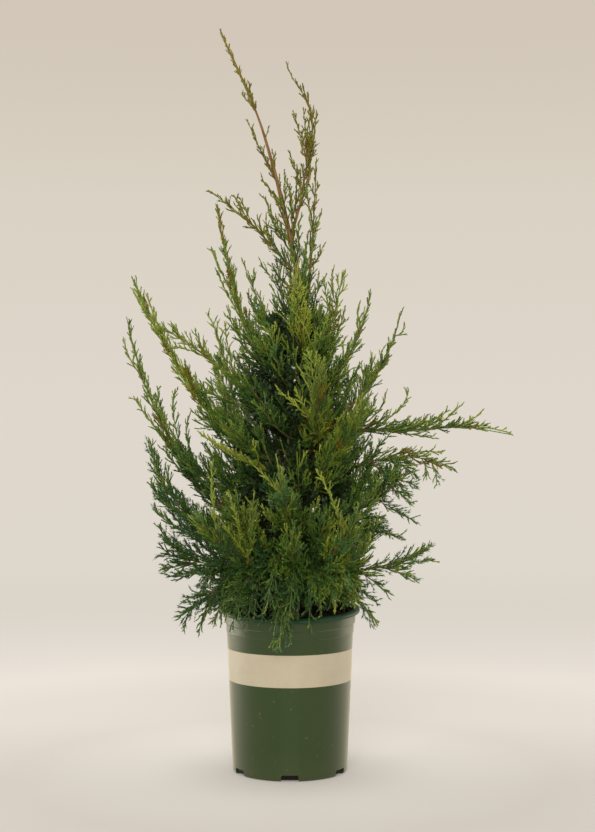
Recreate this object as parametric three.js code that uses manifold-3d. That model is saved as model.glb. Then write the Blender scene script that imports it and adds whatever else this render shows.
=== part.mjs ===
// A columnar juniper growing in a nursery pot, in millimetres, +Z up.
// The origin is the centre of the pot's flat underside. The plant is seen from -Y, with +X on the right.

import * as THREE from "three";
import { mergeVertices } from "three/addons/utils/BufferGeometryUtils.js";
import Module from "manifold-3d";

const wasm = await Module();
wasm.setup();

// Driving dimensions

const GAP = 0.3; // clearance between pieces that meet

const POT = {
  height: 245,
  lipRadius: 105,
  lipHeight: 13,
  collarRadius: 98,
  collarFoot: 209, // the wide collar under the lip ends here
  neckRadius: 95.6,
  neckFoot: 197, // the narrower second collar ends here
  wallRadius: 94.6, // just under the second collar
  footRadius: 86,
  footRound: 4,
  wall: 2.2,
  floor: 3,
  sides: 32,
};

const NOTCH = { count: 6, width: 25, height: 9.5, depth: 13 }; // drain slots round the foot

const SOIL = { level: 224, landRadius: 20, edgeDrop: 3, sides: 24 };

const TRUNK = {
  path: [
    [0, 0, SOIL.level],
    [4, 0, 262],
    [27, 4, 480],
    [16, 0, 712],
    [-9, 0, 839],
    [-28, 0, 914],
    [-50, 0, 984],
    [-106, 0, 1110],
  ],
  radius: 7.5, // at the soil, above the flare
  tipRadius: 0.8,
  flare: 5, // how far the root flare stands out at the soil
  flareHeight: 26,
  bareHeight: 985, // the woody stem ends here, and the leading shoot goes on
  sides: 8,
  rings: 18,
};

const LIMB = { sides: 5, rings: 3, rootRadius: 3.6, tipRadius: 2 };

// The leafy stem of a mass, from its root to its pointed tip, with a whorl of three sprigs at each step.
const STEM = {
  sides: 3,
  radius: 3, // at its fullest
  step: 19,
  stepInCore: 57,
  sprig: 34, // length of its longest sprigs
  sprigShare: 0.6, // the most that they are of the longest side shoots
};

// Side shoots stand round their stem at the golden angle and get shorter towards its tip.
const SHOOT = {
  goldenAngle: THREE.MathUtils.degToRad(137.5),
  drift: THREE.MathUtils.degToRad(40), // how far a shoot may stand on from that
  leaveAngle: THREE.MathUtils.degToRad(42),
  vary: 0.2, // how far lengths and angles vary
  stretch: [0.06, 0.92], // the part of the stem that has shoots
  shortening: 0.5, // the share of its length that a shoot at the very tip has lost
  lift: 0.18, // how far a shoot's end turns upwards, as a share of its length
  lengths: [1, 0.8, 0.62, 0.45], // a shoot that doesn't fit is tried shorter, then skipped
  spacing: 60, // along a slender stem
  fewest: 42, // a stem whose plume is shorter than this has sprigs alone
  onCore: 2, // side shoots of a dense mass
  plumeOnCore: 5, // their length, as a multiple of the core's radius
  sides: 3,
  rings: 4,
  girth: 0.036, // radius at its fullest, as a share of the length
  sprig: 0.34, // length of its longest sprigs, as a share of the length
};

// A sprig is a pointed tuft of leaves that stands out of a shoot and leans towards its tip.
const SPRIG = {
  lean: [60, 24].map(THREE.MathUtils.degToRad), // at the root and at the tip of its shoot
  leanVary: 0.15,
  shortest: 0.65,
  shortening: 0.45, // the share of its length that a sprig at the very tip has lost
  girth: 4, // room that it needs at its root
  lengths: [1, 0.75, 0.5], // a sprig that doesn't fit is tried shorter, then left out
};

// The close growth round the stem of a dense mass, with long sprigs all over it.
const CORE = {
  sides: 6,
  rings: 5,
  start: 0.02, // on a bough
  startOnTrunk: 0.13,
  end: 0.86,
  ends: 0.25, // radius at its two ends, as a share of the fullest
  step: 2, // it swells by this much at a time
  clear: 3,
  sprig: 4.8, // length of its longest sprigs, as a multiple of its radius
};

const CLEAR = 1.2; // how far foliage keeps from the end of its space

// The branches, from the top down. from is the height at which a branch leaves the trunk, knee is where it
// turns and tip where it ends. bare is the share that is a woody bough, and 0 means foliage from the trunk on.
// A slender mass has plume, the length of its longest side shoots. A dense one has core, the radius of its
// close growth.
const BRANCHES = [
  { name: "leader_side", from: 880, knee: [-40, -8, 915], tip: [-63, -9, 970], bare: 0, plume: 36 },
  { name: "second_leader", from: 796, knee: [58, -6, 960], tip: [-3, -12, 1050], bare: 0.2, plume: 62 },
  { name: "third_leader", from: 665, knee: [34, 12, 760], tip: [40, 14, 920], bare: 0.4, plume: 56 },
  { name: "top_left_arch", from: 735, knee: [-34, -12, 805], tip: [-122, -15, 867], bare: 0, plume: 60 },
  { name: "top_left", from: 520, knee: [-78, 6, 611], tip: [-110, 10, 850], bare: 0.36, plume: 56 },
  { name: "top_left_small", from: 610, knee: [-34, 32, 650], tip: [-74, 34, 772], bare: 0, core: 9 },
  { name: "top_right_small", from: 590, knee: [62, -20, 640], tip: [78, -28, 742], bare: 0, core: 13 },
  { name: "top_right", from: 540, knee: [92, 18, 590], tip: [123, 16, 717], bare: 0.25, plume: 60 },
  { name: "top_front", from: 585, knee: [4, -52, 620], tip: [4, -56, 815], bare: 0, core: 19 },
  { name: "top_back", from: 575, knee: [22, 62, 630], tip: [10, 76, 800], bare: 0, core: 20 },

  { name: "left_tall", from: 400, knee: [-136, -12, 509], tip: [-238, -20, 740], bare: 0.3, plume: 62 },
  { name: "left_arch", from: 480, knee: [-80, -42, 600], tip: [-192, -50, 663], bare: 0, core: 10 },
  { name: "left_outer", from: 330, knee: [-190, 10, 400], tip: [-247, 15, 680], bare: 0.36, plume: 52 },
  { name: "right_tall", from: 497, knee: [140, -12, 560], tip: [166, -14, 687], bare: 0.3, plume: 70 },
  { name: "right_long", from: 470, knee: [165, 4, 532], tip: [333, -5, 502], bare: 0.36, plume: 80 },
  { name: "right_drooping", from: 415, knee: [150, 20, 500], tip: [251, 24, 449], bare: 0.26, core: 11 },
  { name: "front_left", from: 430, knee: [-55, -110, 440], tip: [-124, -188, 506], bare: 0.14, core: 22 },
  { name: "front_middle", from: 470, knee: [30, -115, 490], tip: [-16, -160, 605], bare: 0.14, core: 22 },
  { name: "front_right", from: 440, knee: [70, -90, 460], tip: [100, -160, 540], bare: 0.14, core: 22 },
  { name: "back_left", from: 440, knee: [-70, 115, 480], tip: [-122, 172, 620], bare: 0.14, core: 22 },
  { name: "back_middle", from: 390, knee: [12, 140, 430], tip: [18, 212, 560], bare: 0.14, core: 22 },
  { name: "back_right", from: 430, knee: [88, 110, 480], tip: [132, 172, 606], bare: 0.14, core: 22 },

  { name: "low_left_upright", from: 305, knee: [-172, -34, 335], tip: [-208, -40, 490], bare: 0.26, core: 14 },
  { name: "low_left", from: 280, knee: [-112, 24, 302], tip: [-206, 18, 322], bare: 0, core: 17 },
  { name: "low_left_hanging", from: 260, knee: [-112, -34, 302], tip: [-160, -46, 226], bare: 0, core: 12 },
  { name: "low_right_upper", from: 340, knee: [110, 12, 385], tip: [180, 8, 446], bare: 0.16, core: 20 },
  { name: "low_right", from: 276, knee: [112, -2, 305], tip: [217, 0, 314], bare: 0.14, core: 11 },
  { name: "low_right_hanging", from: 258, knee: [92, -62, 302], tip: [124, -72, 226], bare: 0, core: 12 },
  { name: "low_front_left", from: 286, knee: [-70, -112, 308], tip: [-128, -180, 384], bare: 0.14, core: 21 },
  { name: "low_front_middle", from: 350, knee: [6, -112, 352], tip: [-14, -196, 446], bare: 0, core: 21 },
  { name: "low_front_right", from: 292, knee: [62, -112, 312], tip: [95, -184, 392], bare: 0.14, core: 21 },
  { name: "low_front_hanging", from: 254, knee: [-8, -128, 312], tip: [-14, -148, 203], bare: 0, core: 11 },
  { name: "low_back_left", from: 316, knee: [-80, 112, 310], tip: [-128, 178, 360], bare: 0.14, core: 21 },
  { name: "low_back_right", from: 302, knee: [84, 110, 305], tip: [130, 174, 352], bare: 0.14, core: 21 },
];

const LEADING_SHOOT = { name: "leading_shoot", plume: 36 }; // goes on from the trunk's woody end

const COLOURS = {
  pot: { color: 0x46552f, roughness: 0.45, metalness: 0 },
  soil: { color: 0x2b2019, roughness: 0.95, metalness: 0 },
  bark: { color: 0x7a4f36, roughness: 0.85, metalness: 0 },
  foliage: { color: 0x4d6b2a, roughness: 0.7, metalness: 0 },
};

// Shared helpers

const vector = (point) => new THREE.Vector3(...point);

// Repeatable random numbers from 0 to 1.
function seededRandom(seed) {
  let state = seed;
  return () => {
    state = (state * 1664525 + 1013904223) % 4294967296;
    return state / 4294967296;
  };
}

// Geometry to solid and back, so that pieces can be joined and cut.
function solidOf(geometry) {
  const flat = geometry.index ? geometry.toNonIndexed() : geometry;
  const bare = new THREE.BufferGeometry().setAttribute("position", flat.getAttribute("position"));
  const merged = mergeVertices(bare, 1e-3);
  return new wasm.Manifold(
    new wasm.Mesh({
      numProp: 3,
      vertProperties: merged.attributes.position.array,
      triVerts: new Uint32Array(merged.index.array),
    }),
  );
}

function geometryOf(solid) {
  const mesh = solid.getMesh();
  const geometry = new THREE.BufferGeometry();
  geometry.setAttribute("position", new THREE.BufferAttribute(new Float32Array(mesh.vertProperties), 3));
  geometry.setIndex(new THREE.BufferAttribute(new Uint32Array(mesh.triVerts), 1));
  geometry.computeVertexNormals();
  return geometry;
}

// The largest body of a fused solid, without loose scraps and with sealed hollows filled.
function mainBody(solid) {
  return solid.decompose().reduce((largest, body) => (body.volume() > largest.volume() ? body : largest));
}

// A factor that varies evenly round 1.
const vary = (random, share) => 1 + share * (2 * random() - 1);

const joined = (solids) => mainBody(solids.reduce((sum, solid) => sum.add(solid)));

// True if every edge belongs to exactly two facets once the corners are rounded.
function isClosed(geometry) {
  const places = geometry.toNonIndexed().getAttribute("position").array;
  const corners = Array.from({ length: places.length / 3 }, (_, i) =>
    Array.from(places.slice(3 * i, 3 * i + 3), (value) => Math.round(value * 1e4)).join(),
  );
  const facets = new Map();
  for (let i = 0; i < corners.length; i += 3) {
    const facet = corners.slice(i, i + 3);
    if (new Set(facet).size < 3) continue;
    facet.forEach((corner, k) => {
      const edge = [corner, facet[(k + 1) % 3]].sort().join(" ");
      facets.set(edge, (facets.get(edge) ?? 0) + 1);
    });
  }
  return [...facets.values()].every((count) => count === 2);
}

const root = new THREE.Group();

function addPiece(name, solid, material) {
  const mesh = new THREE.Mesh(geometryOf(solid), new THREE.MeshStandardMaterial(COLOURS[material]));
  mesh.name = name;
  root.add(mesh);
}

// Pot and soil

const latheZ = (profile, sides) =>
  new THREE.LatheGeometry(profile.map(([x, y]) => new THREE.Vector2(x, y)), sides).rotateX(Math.PI / 2);

function potSolid() {
  const lipFoot = POT.height - POT.lipHeight;
  const inside = POT.wallRadius - POT.wall;
  const profile = [
    [0, 0],
    [POT.footRadius - POT.footRound, 0],
    [POT.footRadius, POT.footRound],
    [POT.wallRadius, POT.neckFoot],
    [POT.neckRadius, POT.neckFoot + 0.6],
    [POT.neckRadius, POT.collarFoot],
    [POT.collarRadius, POT.collarFoot + 1.2],
    [POT.collarRadius, lipFoot],
    [POT.lipRadius, lipFoot + 1],
    [POT.lipRadius, POT.height - 2],
    [POT.lipRadius - 2, POT.height],
    [POT.collarRadius - POT.wall, POT.height],
    [inside, POT.neckFoot],
    [POT.footRadius - POT.wall, POT.floor],
    [0, POT.floor],
  ];
  const notches = Array.from({ length: NOTCH.count }, (_, i) => {
    const box = new THREE.BoxGeometry(NOTCH.width, NOTCH.depth * 2, NOTCH.height * 2);
    box.translate(0, -POT.footRadius, 0).rotateZ((i * 2 * Math.PI) / NOTCH.count);
    return solidOf(box);
  });
  return notches.reduce((pot, notch) => pot.subtract(notch), solidOf(latheZ(profile, POT.sides)));
}

// Inside radius of the pot at a height, for what stands in it.
function insideRadius(height) {
  const share = THREE.MathUtils.clamp((height - POT.floor) / (POT.neckFoot - POT.floor), 0, 1);
  return THREE.MathUtils.lerp(POT.footRadius, POT.wallRadius, share) - POT.wall;
}

function soilSolid() {
  const flatSide = Math.cos(Math.PI / POT.sides); // the pot's facets are nearest the axis at their middles
  const radiusAt = (height) => insideRadius(height) * flatSide - GAP;
  const edge = SOIL.level - SOIL.edgeDrop;
  const profile = [
    [0, POT.floor + GAP],
    [radiusAt(POT.floor), POT.floor + GAP],
    [radiusAt(POT.neckFoot), POT.neckFoot],
    [radiusAt(edge), edge],
    [SOIL.landRadius, SOIL.level],
    [0, SOIL.level],
  ];
  return solidOf(latheZ(profile, SOIL.sides));
}

// Limbs

// The facets of a closed form, each corner put in its place. A facet that stands on a point may grow a sprig.
function shell(form, place, sprigOn = () => null) {
  const facets = form.toNonIndexed().getAttribute("position");
  const corners = [];
  for (let i = 0; i < facets.count; i += 3) {
    const local = [0, 1, 2].map((k) => new THREE.Vector3().fromBufferAttribute(facets, i + k));
    local.forEach((corner) => corner.multiplyScalar(1e5).round().divideScalar(1e5)); // seams meet exactly
    const [a, b, c] = local.map(place);
    const [low, middle, high] = local.map((corner) => corner.y).sort((one, two) => one - two);
    const standsOnPoint = high - middle < 1e-6 && middle - low > 1e-6;
    const point = standsOnPoint ? sprigOn((low + 2 * high) / 3, [a, b, c]) : null;
    if (point) corners.push(a, b, point, b, c, point, c, a, point);
    else corners.push(a, b, c);
  }
  return new THREE.BufferGeometry().setFromPoints(corners);
}

// Puts the corners of an upright form of unit height round a stretch of a curve.
// frameAt gives the two directions across the curve, and radiusAt its radius.
function alongCurve(curve, [start, end], radiusAt, frameAt) {
  return (corner) => {
    const along = THREE.MathUtils.lerp(start, end, corner.y + 0.5);
    const [across, over] = frameAt(along);
    const spoke = new THREE.Vector2(corner.x, corner.z).normalize().multiplyScalar(radiusAt(along));
    return curve.getPoint(along).addScaledVector(across, spoke.x).addScaledVector(over, spoke.y);
  };
}

function limbSolid(curve, stretch, radiusAt, frameAt, { sides, rings }) {
  const form = new THREE.CylinderGeometry(1, 1, 1, sides, rings);
  return solidOf(shell(form, alongCurve(curve, stretch, radiusAt, frameAt)));
}

const trunkCurve = new THREE.CatmullRomCurve3(TRUNK.path.map(vector), false, "centripetal");

// The place on the trunk's curve at a height.
function trunkAt(height) {
  let [low, high] = [0, 1];
  for (let i = 0; i < 40; i += 1) {
    const middle = (low + high) / 2;
    if (trunkCurve.getPoint(middle).z < height) low = middle;
    else high = middle;
  }
  return (low + high) / 2;
}

function trunkRadius(along) {
  const rise = trunkCurve.getPoint(along).z - TRUNK.path[0][2];
  const flare = TRUNK.flare * Math.max(0, 1 - rise / TRUNK.flareHeight) ** 2;
  return THREE.MathUtils.lerp(TRUNK.radius, TRUNK.tipRadius, along) + flare;
}

// Level rings keep the trunk's foot a flat cut. The turn of the frame keeps its sides facing out.
const levelFrame = () => [new THREE.Vector3(1, 0, 0), new THREE.Vector3(0, -1, 0)];

function trunkSolid(extra = 0) {
  const end = trunkAt(TRUNK.bareHeight + extra);
  return limbSolid(trunkCurve, [0, end], (along) => trunkRadius(along) + extra, levelFrame, TRUNK);
}

// Across and over for a branch, which lies in the plane of its root, knee and tip.
function branchFrame(curve) {
  const normal = curve.v1.clone().sub(curve.v0).cross(curve.v2.clone().sub(curve.v1)).normalize();
  return (along) => [normal, normal.clone().cross(curve.getTangent(along))];
}

// The leading shoot's curve is the trunk's own top end.
function leadingCurve() {
  const along = trunkAt(TRUNK.bareHeight - 3);
  const start = trunkCurve.getPoint(along);
  const tip = trunkCurve.getPoint(1);
  const knee = start.clone().addScaledVector(trunkCurve.getTangent(along), start.distanceTo(tip) / 2);
  return new THREE.QuadraticBezierCurve3(start, knee, tip);
}

const polyline = (curve, start, end, count = 14) =>
  Array.from({ length: count + 1 }, (_, i) => curve.getPoint(THREE.MathUtils.lerp(start, end, i / count)));

// Each branch with its curve, its woody share and the line of its leafy stem.
const branches = BRANCHES.map((sizes) => {
  const curve = new THREE.QuadraticBezierCurve3(
    trunkCurve.getPoint(trunkAt(sizes.from)),
    vector(sizes.knee),
    vector(sizes.tip),
  );
  const speed = curve.getPoint(sizes.bare + 0.001).distanceTo(curve.getPoint(sizes.bare)) / 0.001;
  const stemStart = sizes.bare ? sizes.bare + GAP / speed : 0;
  return { ...sizes, curve, stemStart, frameAt: branchFrame(curve), line: polyline(curve, stemStart, 1) };
});
const leading = leadingCurve();
branches.unshift({
  ...LEADING_SHOOT,
  from: TRUNK.bareHeight,
  bare: 0,
  curve: leading,
  stemStart: 0,
  frameAt: branchFrame(leading),
  line: polyline(leading, 0, 1),
});

const grownTrunk = trunkSolid(GAP);

function boughSolid(branch) {
  const radiusAt = (along) => THREE.MathUtils.lerp(LIMB.rootRadius, LIMB.tipRadius, along / branch.bare);
  const bough = limbSolid(branch.curve, [0, branch.bare], radiusAt, branch.frameAt, LIMB);
  return mainBody(bough.subtract(grownTrunk));
}

// The space that each mass of foliage keeps to

const segment = new THREE.Line3();
const nearest = new THREE.Vector3();

function distanceTo(line, point) {
  let least = Infinity;
  for (let i = 1; i < line.length; i += 1) {
    segment.set(line[i - 1], line[i]).closestPointToPoint(point, true, nearest);
    least = Math.min(least, nearest.distanceTo(point));
  }
  return least;
}

const limbs = [
  { line: polyline(trunkCurve, 0, trunkAt(TRUNK.bareHeight), 24), radius: TRUNK.radius },
  ...branches
    .filter((branch) => branch.bare)
    .map((branch) => ({ line: polyline(branch.curve, 0, branch.bare), radius: LIMB.rootRadius })),
];

function clearOfPot(point, width) {
  const reach = Math.hypot(point.x, point.y);
  if (reach < insideRadius(POT.height) - width) return point.z > SOIL.level + width;
  if (reach < POT.lipRadius + width) return point.z > POT.height + width;
  return true;
}

// A point belongs to the mass whose stem is nearest, so two masses never share a place.
function inOwnSpace(branch, point, clear = CLEAR) {
  if (!clearOfPot(point, clear)) return false;
  if (limbs.some((limb) => distanceTo(limb.line, point) < limb.radius + clear)) return false;
  const own = distanceTo(branch.line, point);
  return branches.every((other) => other === branch || distanceTo(other.line, point) - own > 2 * clear);
}

// Sprays and masses

// Grows a sprig from a facet's middle, out from the curve and forwards, as long as the mass's space lets it be.
function sprigGrower(branch, curve, [start, end], longest, random) {
  return (height, facet) => {
    const share = height + 0.5;
    const along = THREE.MathUtils.lerp(start, end, share);
    const middle = facet[0].clone().add(facet[1]).add(facet[2]).divideScalar(3);
    const forward = curve.getTangent(along);
    const outward = middle.clone().sub(curve.getPoint(along));
    outward.addScaledVector(forward, -outward.dot(forward)).normalize();
    const lean = THREE.MathUtils.lerp(...SPRIG.lean, share) * vary(random, SPRIG.leanVary);
    const reach = longest * THREE.MathUtils.lerp(SPRIG.shortest, 1, random()) * (1 - SPRIG.shortening * share);
    const direction = forward.multiplyScalar(Math.cos(lean)).addScaledVector(outward, Math.sin(lean));
    const pointAt = (length) => middle.clone().addScaledVector(direction, length);
    const fits = (length) =>
      [0.2, 0.35, 0.5, 0.65, 0.8, 1].every((part) =>
        inOwnSpace(branch, pointAt(length * part), CLEAR + (1 - part) * SPRIG.girth),
      );
    const length = SPRIG.lengths.map((part) => part * reach).find(fits);
    return length ? pointAt(length) : null;
  };
}

// A leafy shoot is slim at its root, fullest a third of the way along and pointed at its tip.
function leafyShoot(branch, curve, stretch, frameAt, { sides, rings, girth, sprig }, random) {
  const [start, end] = stretch;
  const radiusAt = (along) => {
    const share = (along - start) / (end - start);
    return girth * (share < 1 / 3 ? 0.4 + 1.8 * share : 1.5 * (1 - share));
  };
  const form = new THREE.ConeGeometry(1, 1, sides, rings);
  const place = alongCurve(curve, stretch, radiusAt, frameAt);
  return shell(form, place, sprigGrower(branch, curve, stretch, sprig, random));
}

const stemLength = (branch) => branch.curve.getLength() * (1 - branch.stemStart);

// A side shoot leaves its stem and turns upwards.
function shootCurve(branch, along, direction, length) {
  const base = branch.curve.getPoint(along);
  const tip = base.clone().addScaledVector(direction, length);
  const knee = base.clone().lerp(tip, 0.5);
  tip.z += length * SHOOT.lift;
  return new THREE.QuadraticBezierCurve3(base, knee, tip);
}

// A shoot that would leave the mass's space or touch a limb doesn't fit.
function shootFits(branch, curve) {
  const girth = SHOOT.girth * curve.getLength();
  return [0.25, 0.4, 0.55, 0.7, 0.85, 1].every((share) =>
    inOwnSpace(branch, curve.getPoint(share), CLEAR + girth * 1.5 * (1 - share)),
  );
}

function sideShoot(branch, curve, random) {
  const length = curve.getLength();
  const sizes = { ...SHOOT, girth: SHOOT.girth * length, sprig: SHOOT.sprig * length };
  return leafyShoot(branch, curve, [0, 1], branchFrame(curve), sizes, random);
}

function shootCount(branch) {
  if (branch.core) return SHOOT.onCore;
  return branch.plume < SHOOT.fewest ? 0 : Math.round(stemLength(branch) / SHOOT.spacing);
}

// The side shoots of a mass, each at its place on the stem.
function sideShoots(branch, random) {
  const shoots = [];
  const count = shootCount(branch);
  for (let i = 0; i < count; i += 1) {
    const share = (i + 0.5) / count;
    const along = THREE.MathUtils.lerp(branch.stemStart, 1, THREE.MathUtils.lerp(...SHOOT.stretch, share));
    const forward = branch.curve.getTangent(along);
    const [across] = branch.frameAt(along);
    const side = across.clone().applyAxisAngle(forward, i * SHOOT.goldenAngle + SHOOT.drift * random());
    const leave = SHOOT.leaveAngle * vary(random, SHOOT.vary);
    const direction = forward.clone().multiplyScalar(Math.cos(leave)).addScaledVector(side, Math.sin(leave));
    const plume = branch.core ? branch.core * SHOOT.plumeOnCore : branch.plume;
    const full = plume * (1 - SHOOT.shortening * share) * vary(random, SHOOT.vary);
    const curves = SHOOT.lengths.map((part) => shootCurve(branch, along, direction, full * part));
    const fitting = curves.find((curve) => shootFits(branch, curve));
    if (fitting) shoots.push(sideShoot(branch, fitting, random));
  }
  return shoots;
}

// Each side of the core swells until it meets the end of the mass's space.
function coreShoot(branch, random) {
  const shares = [branch.bare ? CORE.start : CORE.startOnTrunk, CORE.end];
  const stretch = shares.map((share) => THREE.MathUtils.lerp(branch.stemStart, 1, share));
  const form = new THREE.CylinderGeometry(1, 1, 1, CORE.sides, CORE.rings);
  const place = (corner) => {
    const along = THREE.MathUtils.lerp(...stretch, corner.y + 0.5);
    const [across, over] = branch.frameAt(along);
    const outward = across.clone().multiplyScalar(corner.x).addScaledVector(over, corner.z);
    const stem = branch.curve.getPoint(along);
    const swell = THREE.MathUtils.lerp(CORE.ends, 1, Math.sin(Math.PI * (corner.y + 0.5)));
    let reach = outward.length();
    const next = () => stem.clone().addScaledVector(outward, reach + CORE.step);
    while (reach && reach < branch.core * swell && inOwnSpace(branch, next(), CORE.clear)) reach += CORE.step;
    return stem.addScaledVector(outward, reach);
  };
  return shell(form, place, sprigGrower(branch, branch.curve, stretch, CORE.sprig * branch.core, random));
}

function grownMass(branch, seed) {
  const random = seededRandom(seed);
  const stretch = [branch.stemStart, 1];
  const rings = Math.round(stemLength(branch) / (branch.core ? STEM.stepInCore : STEM.step));
  const sprig = branch.core ? STEM.sprig : Math.min(STEM.sprig, branch.plume * STEM.sprigShare);
  const sizes = { sides: STEM.sides, rings, girth: STEM.radius, sprig };
  const stem = leafyShoot(branch, branch.curve, stretch, branch.frameAt, sizes, random);
  const core = branch.core ? [coreShoot(branch, random)] : [];
  const mass = joined([stem, ...core, ...sideShoots(branch, random)].map(solidOf));
  const cut = branch.bare ? mass : mass.subtract(grownTrunk);
  return mainBody(solidOf(geometryOf(mainBody(cut)))); // a thread thinner than the merging distance drops off
}

// Shoots that meet edge to edge don't close, so such a mass grows again from the next seed.
function massSolid(branch, seed) {
  const mass = grownMass(branch, seed);
  return isClosed(geometryOf(mass)) ? mass : massSolid(branch, seed + 100);
}

// The plant in its pot

addPiece("pot", potSolid(), "pot");
addPiece("soil", soilSolid(), "soil");
addPiece("trunk", trunkSolid(), "bark");
branches.forEach((branch, i) => {
  if (branch.bare) addPiece(`bough_${branch.name}`, boughSolid(branch), "bark");
  addPiece(`foliage_${branch.name}`, massSolid(branch, 1000 + i), "foliage");
});

export default root;
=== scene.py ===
import math
import bmesh
import bpy
import numpy as np
from mathutils import Matrix, Vector, noise


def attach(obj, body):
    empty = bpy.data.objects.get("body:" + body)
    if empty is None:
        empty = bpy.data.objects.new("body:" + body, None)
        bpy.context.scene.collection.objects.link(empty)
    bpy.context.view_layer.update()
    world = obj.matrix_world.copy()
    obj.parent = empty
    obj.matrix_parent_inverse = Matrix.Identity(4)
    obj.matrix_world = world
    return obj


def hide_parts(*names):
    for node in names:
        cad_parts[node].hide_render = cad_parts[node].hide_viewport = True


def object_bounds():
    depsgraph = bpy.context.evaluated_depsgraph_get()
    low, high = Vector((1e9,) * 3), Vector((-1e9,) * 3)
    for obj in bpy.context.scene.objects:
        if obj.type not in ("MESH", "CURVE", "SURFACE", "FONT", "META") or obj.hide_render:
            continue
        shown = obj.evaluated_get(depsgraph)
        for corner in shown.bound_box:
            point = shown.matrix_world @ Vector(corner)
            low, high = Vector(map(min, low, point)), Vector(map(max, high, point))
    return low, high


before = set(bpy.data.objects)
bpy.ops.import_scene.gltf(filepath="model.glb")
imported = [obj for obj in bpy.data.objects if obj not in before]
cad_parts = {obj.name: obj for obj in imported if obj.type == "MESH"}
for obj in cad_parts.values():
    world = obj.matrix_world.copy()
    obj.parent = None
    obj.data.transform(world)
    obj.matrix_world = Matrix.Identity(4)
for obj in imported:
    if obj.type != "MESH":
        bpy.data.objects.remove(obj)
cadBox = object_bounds()
mm = 0.001  # the growing is worked out in millimetres, the meshes are in metres
print("frame loaded,", len(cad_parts), "nodes")


# Node wiring

class Wire:  # a socket that takes part in sums
    def __init__(self, board, socket):
        self.board, self.socket = board, socket

    def combine(self, operation, other, turned=False):
        pair = (other, self) if turned else (self, other)
        return self.board.node("ShaderNodeMath", {"operation": operation}, {0: pair[0], 1: pair[1]})

    def __add__(self, other):
        return self.combine("ADD", other)

    def __sub__(self, other):
        return self.combine("SUBTRACT", other)

    def __rsub__(self, other):
        return self.combine("SUBTRACT", other, turned=True)

    def __mul__(self, other):
        return self.combine("MULTIPLY", other)

    def __gt__(self, other):
        return self.combine("GREATER_THAN", other)

    def __lt__(self, other):
        return self.combine("LESS_THAN", other)

    __radd__ = __add__
    __rmul__ = __mul__


class Board:  # a node tree that nodes are added to
    def __init__(self, tree):
        self.tree = tree

    def node(self, kind, settings=None, sockets=None, output=0):
        made = self.tree.nodes.new(kind)
        for name, value in (settings or {}).items():
            if name == "stops":
                setStops(made.color_ramp, value)
            else:
                setattr(made, name, value)
        for name, value in (sockets or {}).items():
            socket = inUse(made.inputs, name)
            if isinstance(value, Wire):
                self.tree.links.new(value.socket, socket)
            else:
                socket.default_value = value
        return Wire(self, inUse(made.outputs, output)) if made.outputs else made

    def chance(self, kind, least, most, seed):
        sockets = {"Min": least, "Max": most, "Seed": seed}
        return self.node("FunctionNodeRandomValue", {"data_type": kind}, sockets)

    def pattern(self, thing):  # an object to repeat
        sockets = {"Object": thing, "As Instance": True}
        return self.node("GeometryNodeObjectInfo", None, sockets, output="Geometry")


def inUse(sockets, key):  # a node keeps hidden sockets for its other data types
    shown = [socket for socket in sockets if socket.enabled]
    return shown[key] if isinstance(key, int) else next(socket for socket in shown if socket.name == key)


def setStops(ramp, stops):
    while len(ramp.elements) > 1:
        ramp.elements.remove(ramp.elements[-1])
    for i, (place, colour) in enumerate(stops):
        stop = ramp.elements[0] if i == 0 else ramp.elements.new(place)
        stop.position = place
        stop.color = (*colour[:3], 1)


class Finish(Board):  # a material with one shader
    def __init__(self, name, constants):
        self.material = bpy.data.materials.new(name)
        self.material.use_nodes = True
        super().__init__(self.material.node_tree)
        self.shader = self.tree.nodes["Principled BSDF"]
        for socket, value in constants.items():
            self.shader.inputs[socket].default_value = value
        if "Base Color" in constants:
            self.material.diffuse_color = constants["Base Color"]

    def feed(self, socket, wire):
        self.tree.links.new(wire.socket, self.shader.inputs[socket])

    def place(self):
        return self.node("ShaderNodeTexCoord", output="Object")

    def speckle(self, vector, scale, detail=3.0, roughness=0.5):
        values = {"Vector": vector, "Scale": scale, "Detail": detail, "Roughness": roughness}
        return self.node("ShaderNodeTexNoise", None, values)

    def ramp(self, wire, stops):
        return self.node("ShaderNodeValToRGB", {"stops": stops}, {"Fac": wire})

    def step(self, wire, low, high, most=1.0):  # nothing up to low, most from high on
        return self.ramp(wire, [(low, (0, 0, 0)), (high, (most,) * 3)])

    def blend(self, factor, one, two):
        return self.node("ShaderNodeMix", {"data_type": "RGBA"}, {"Factor": factor, "A": one, "B": two})

    def stretch(self, vector, scale):
        return self.node("ShaderNodeMapping", None, {"Vector": vector, "Scale": scale})

    def bump(self, height, strength, distance):
        sockets = {"Height": height, "Strength": strength, "Distance": distance}
        self.feed("Normal", self.node("ShaderNodeBump", None, sockets))


def rgb(red, green, blue):  # sRGB bytes to a linear colour
    share = np.array((red, green, blue)) / 255
    linear = np.where(share <= 0.04045, share / 12.92, ((share + 0.055) / 1.055) ** 2.4)
    return (*linear.tolist(), 1)


# Shared mesh tools

def addObject(name, mesh):
    made = bpy.data.objects.new(name, mesh)
    bpy.context.scene.collection.objects.link(made)
    return made


def meshFrom(name, points, faces, smooth=True):
    mesh = bpy.data.meshes.new(name)
    mesh.from_pydata(np.asarray(points).tolist(), [], [list(face) for face in faces])
    mesh.polygons.foreach_set("use_smooth", [smooth] * len(mesh.polygons))
    mesh.update()
    return mesh


def ringFaces(rings, columns, start=0):  # the faces between rings of points that follow each other
    faces = []
    for ring in range(rings - 1):
        for k in range(columns):
            here = start + ring * columns + k
            beside = start + ring * columns + (k + 1) % columns
            faces.append((here, beside, beside + columns, here + columns))
    return faces


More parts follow.
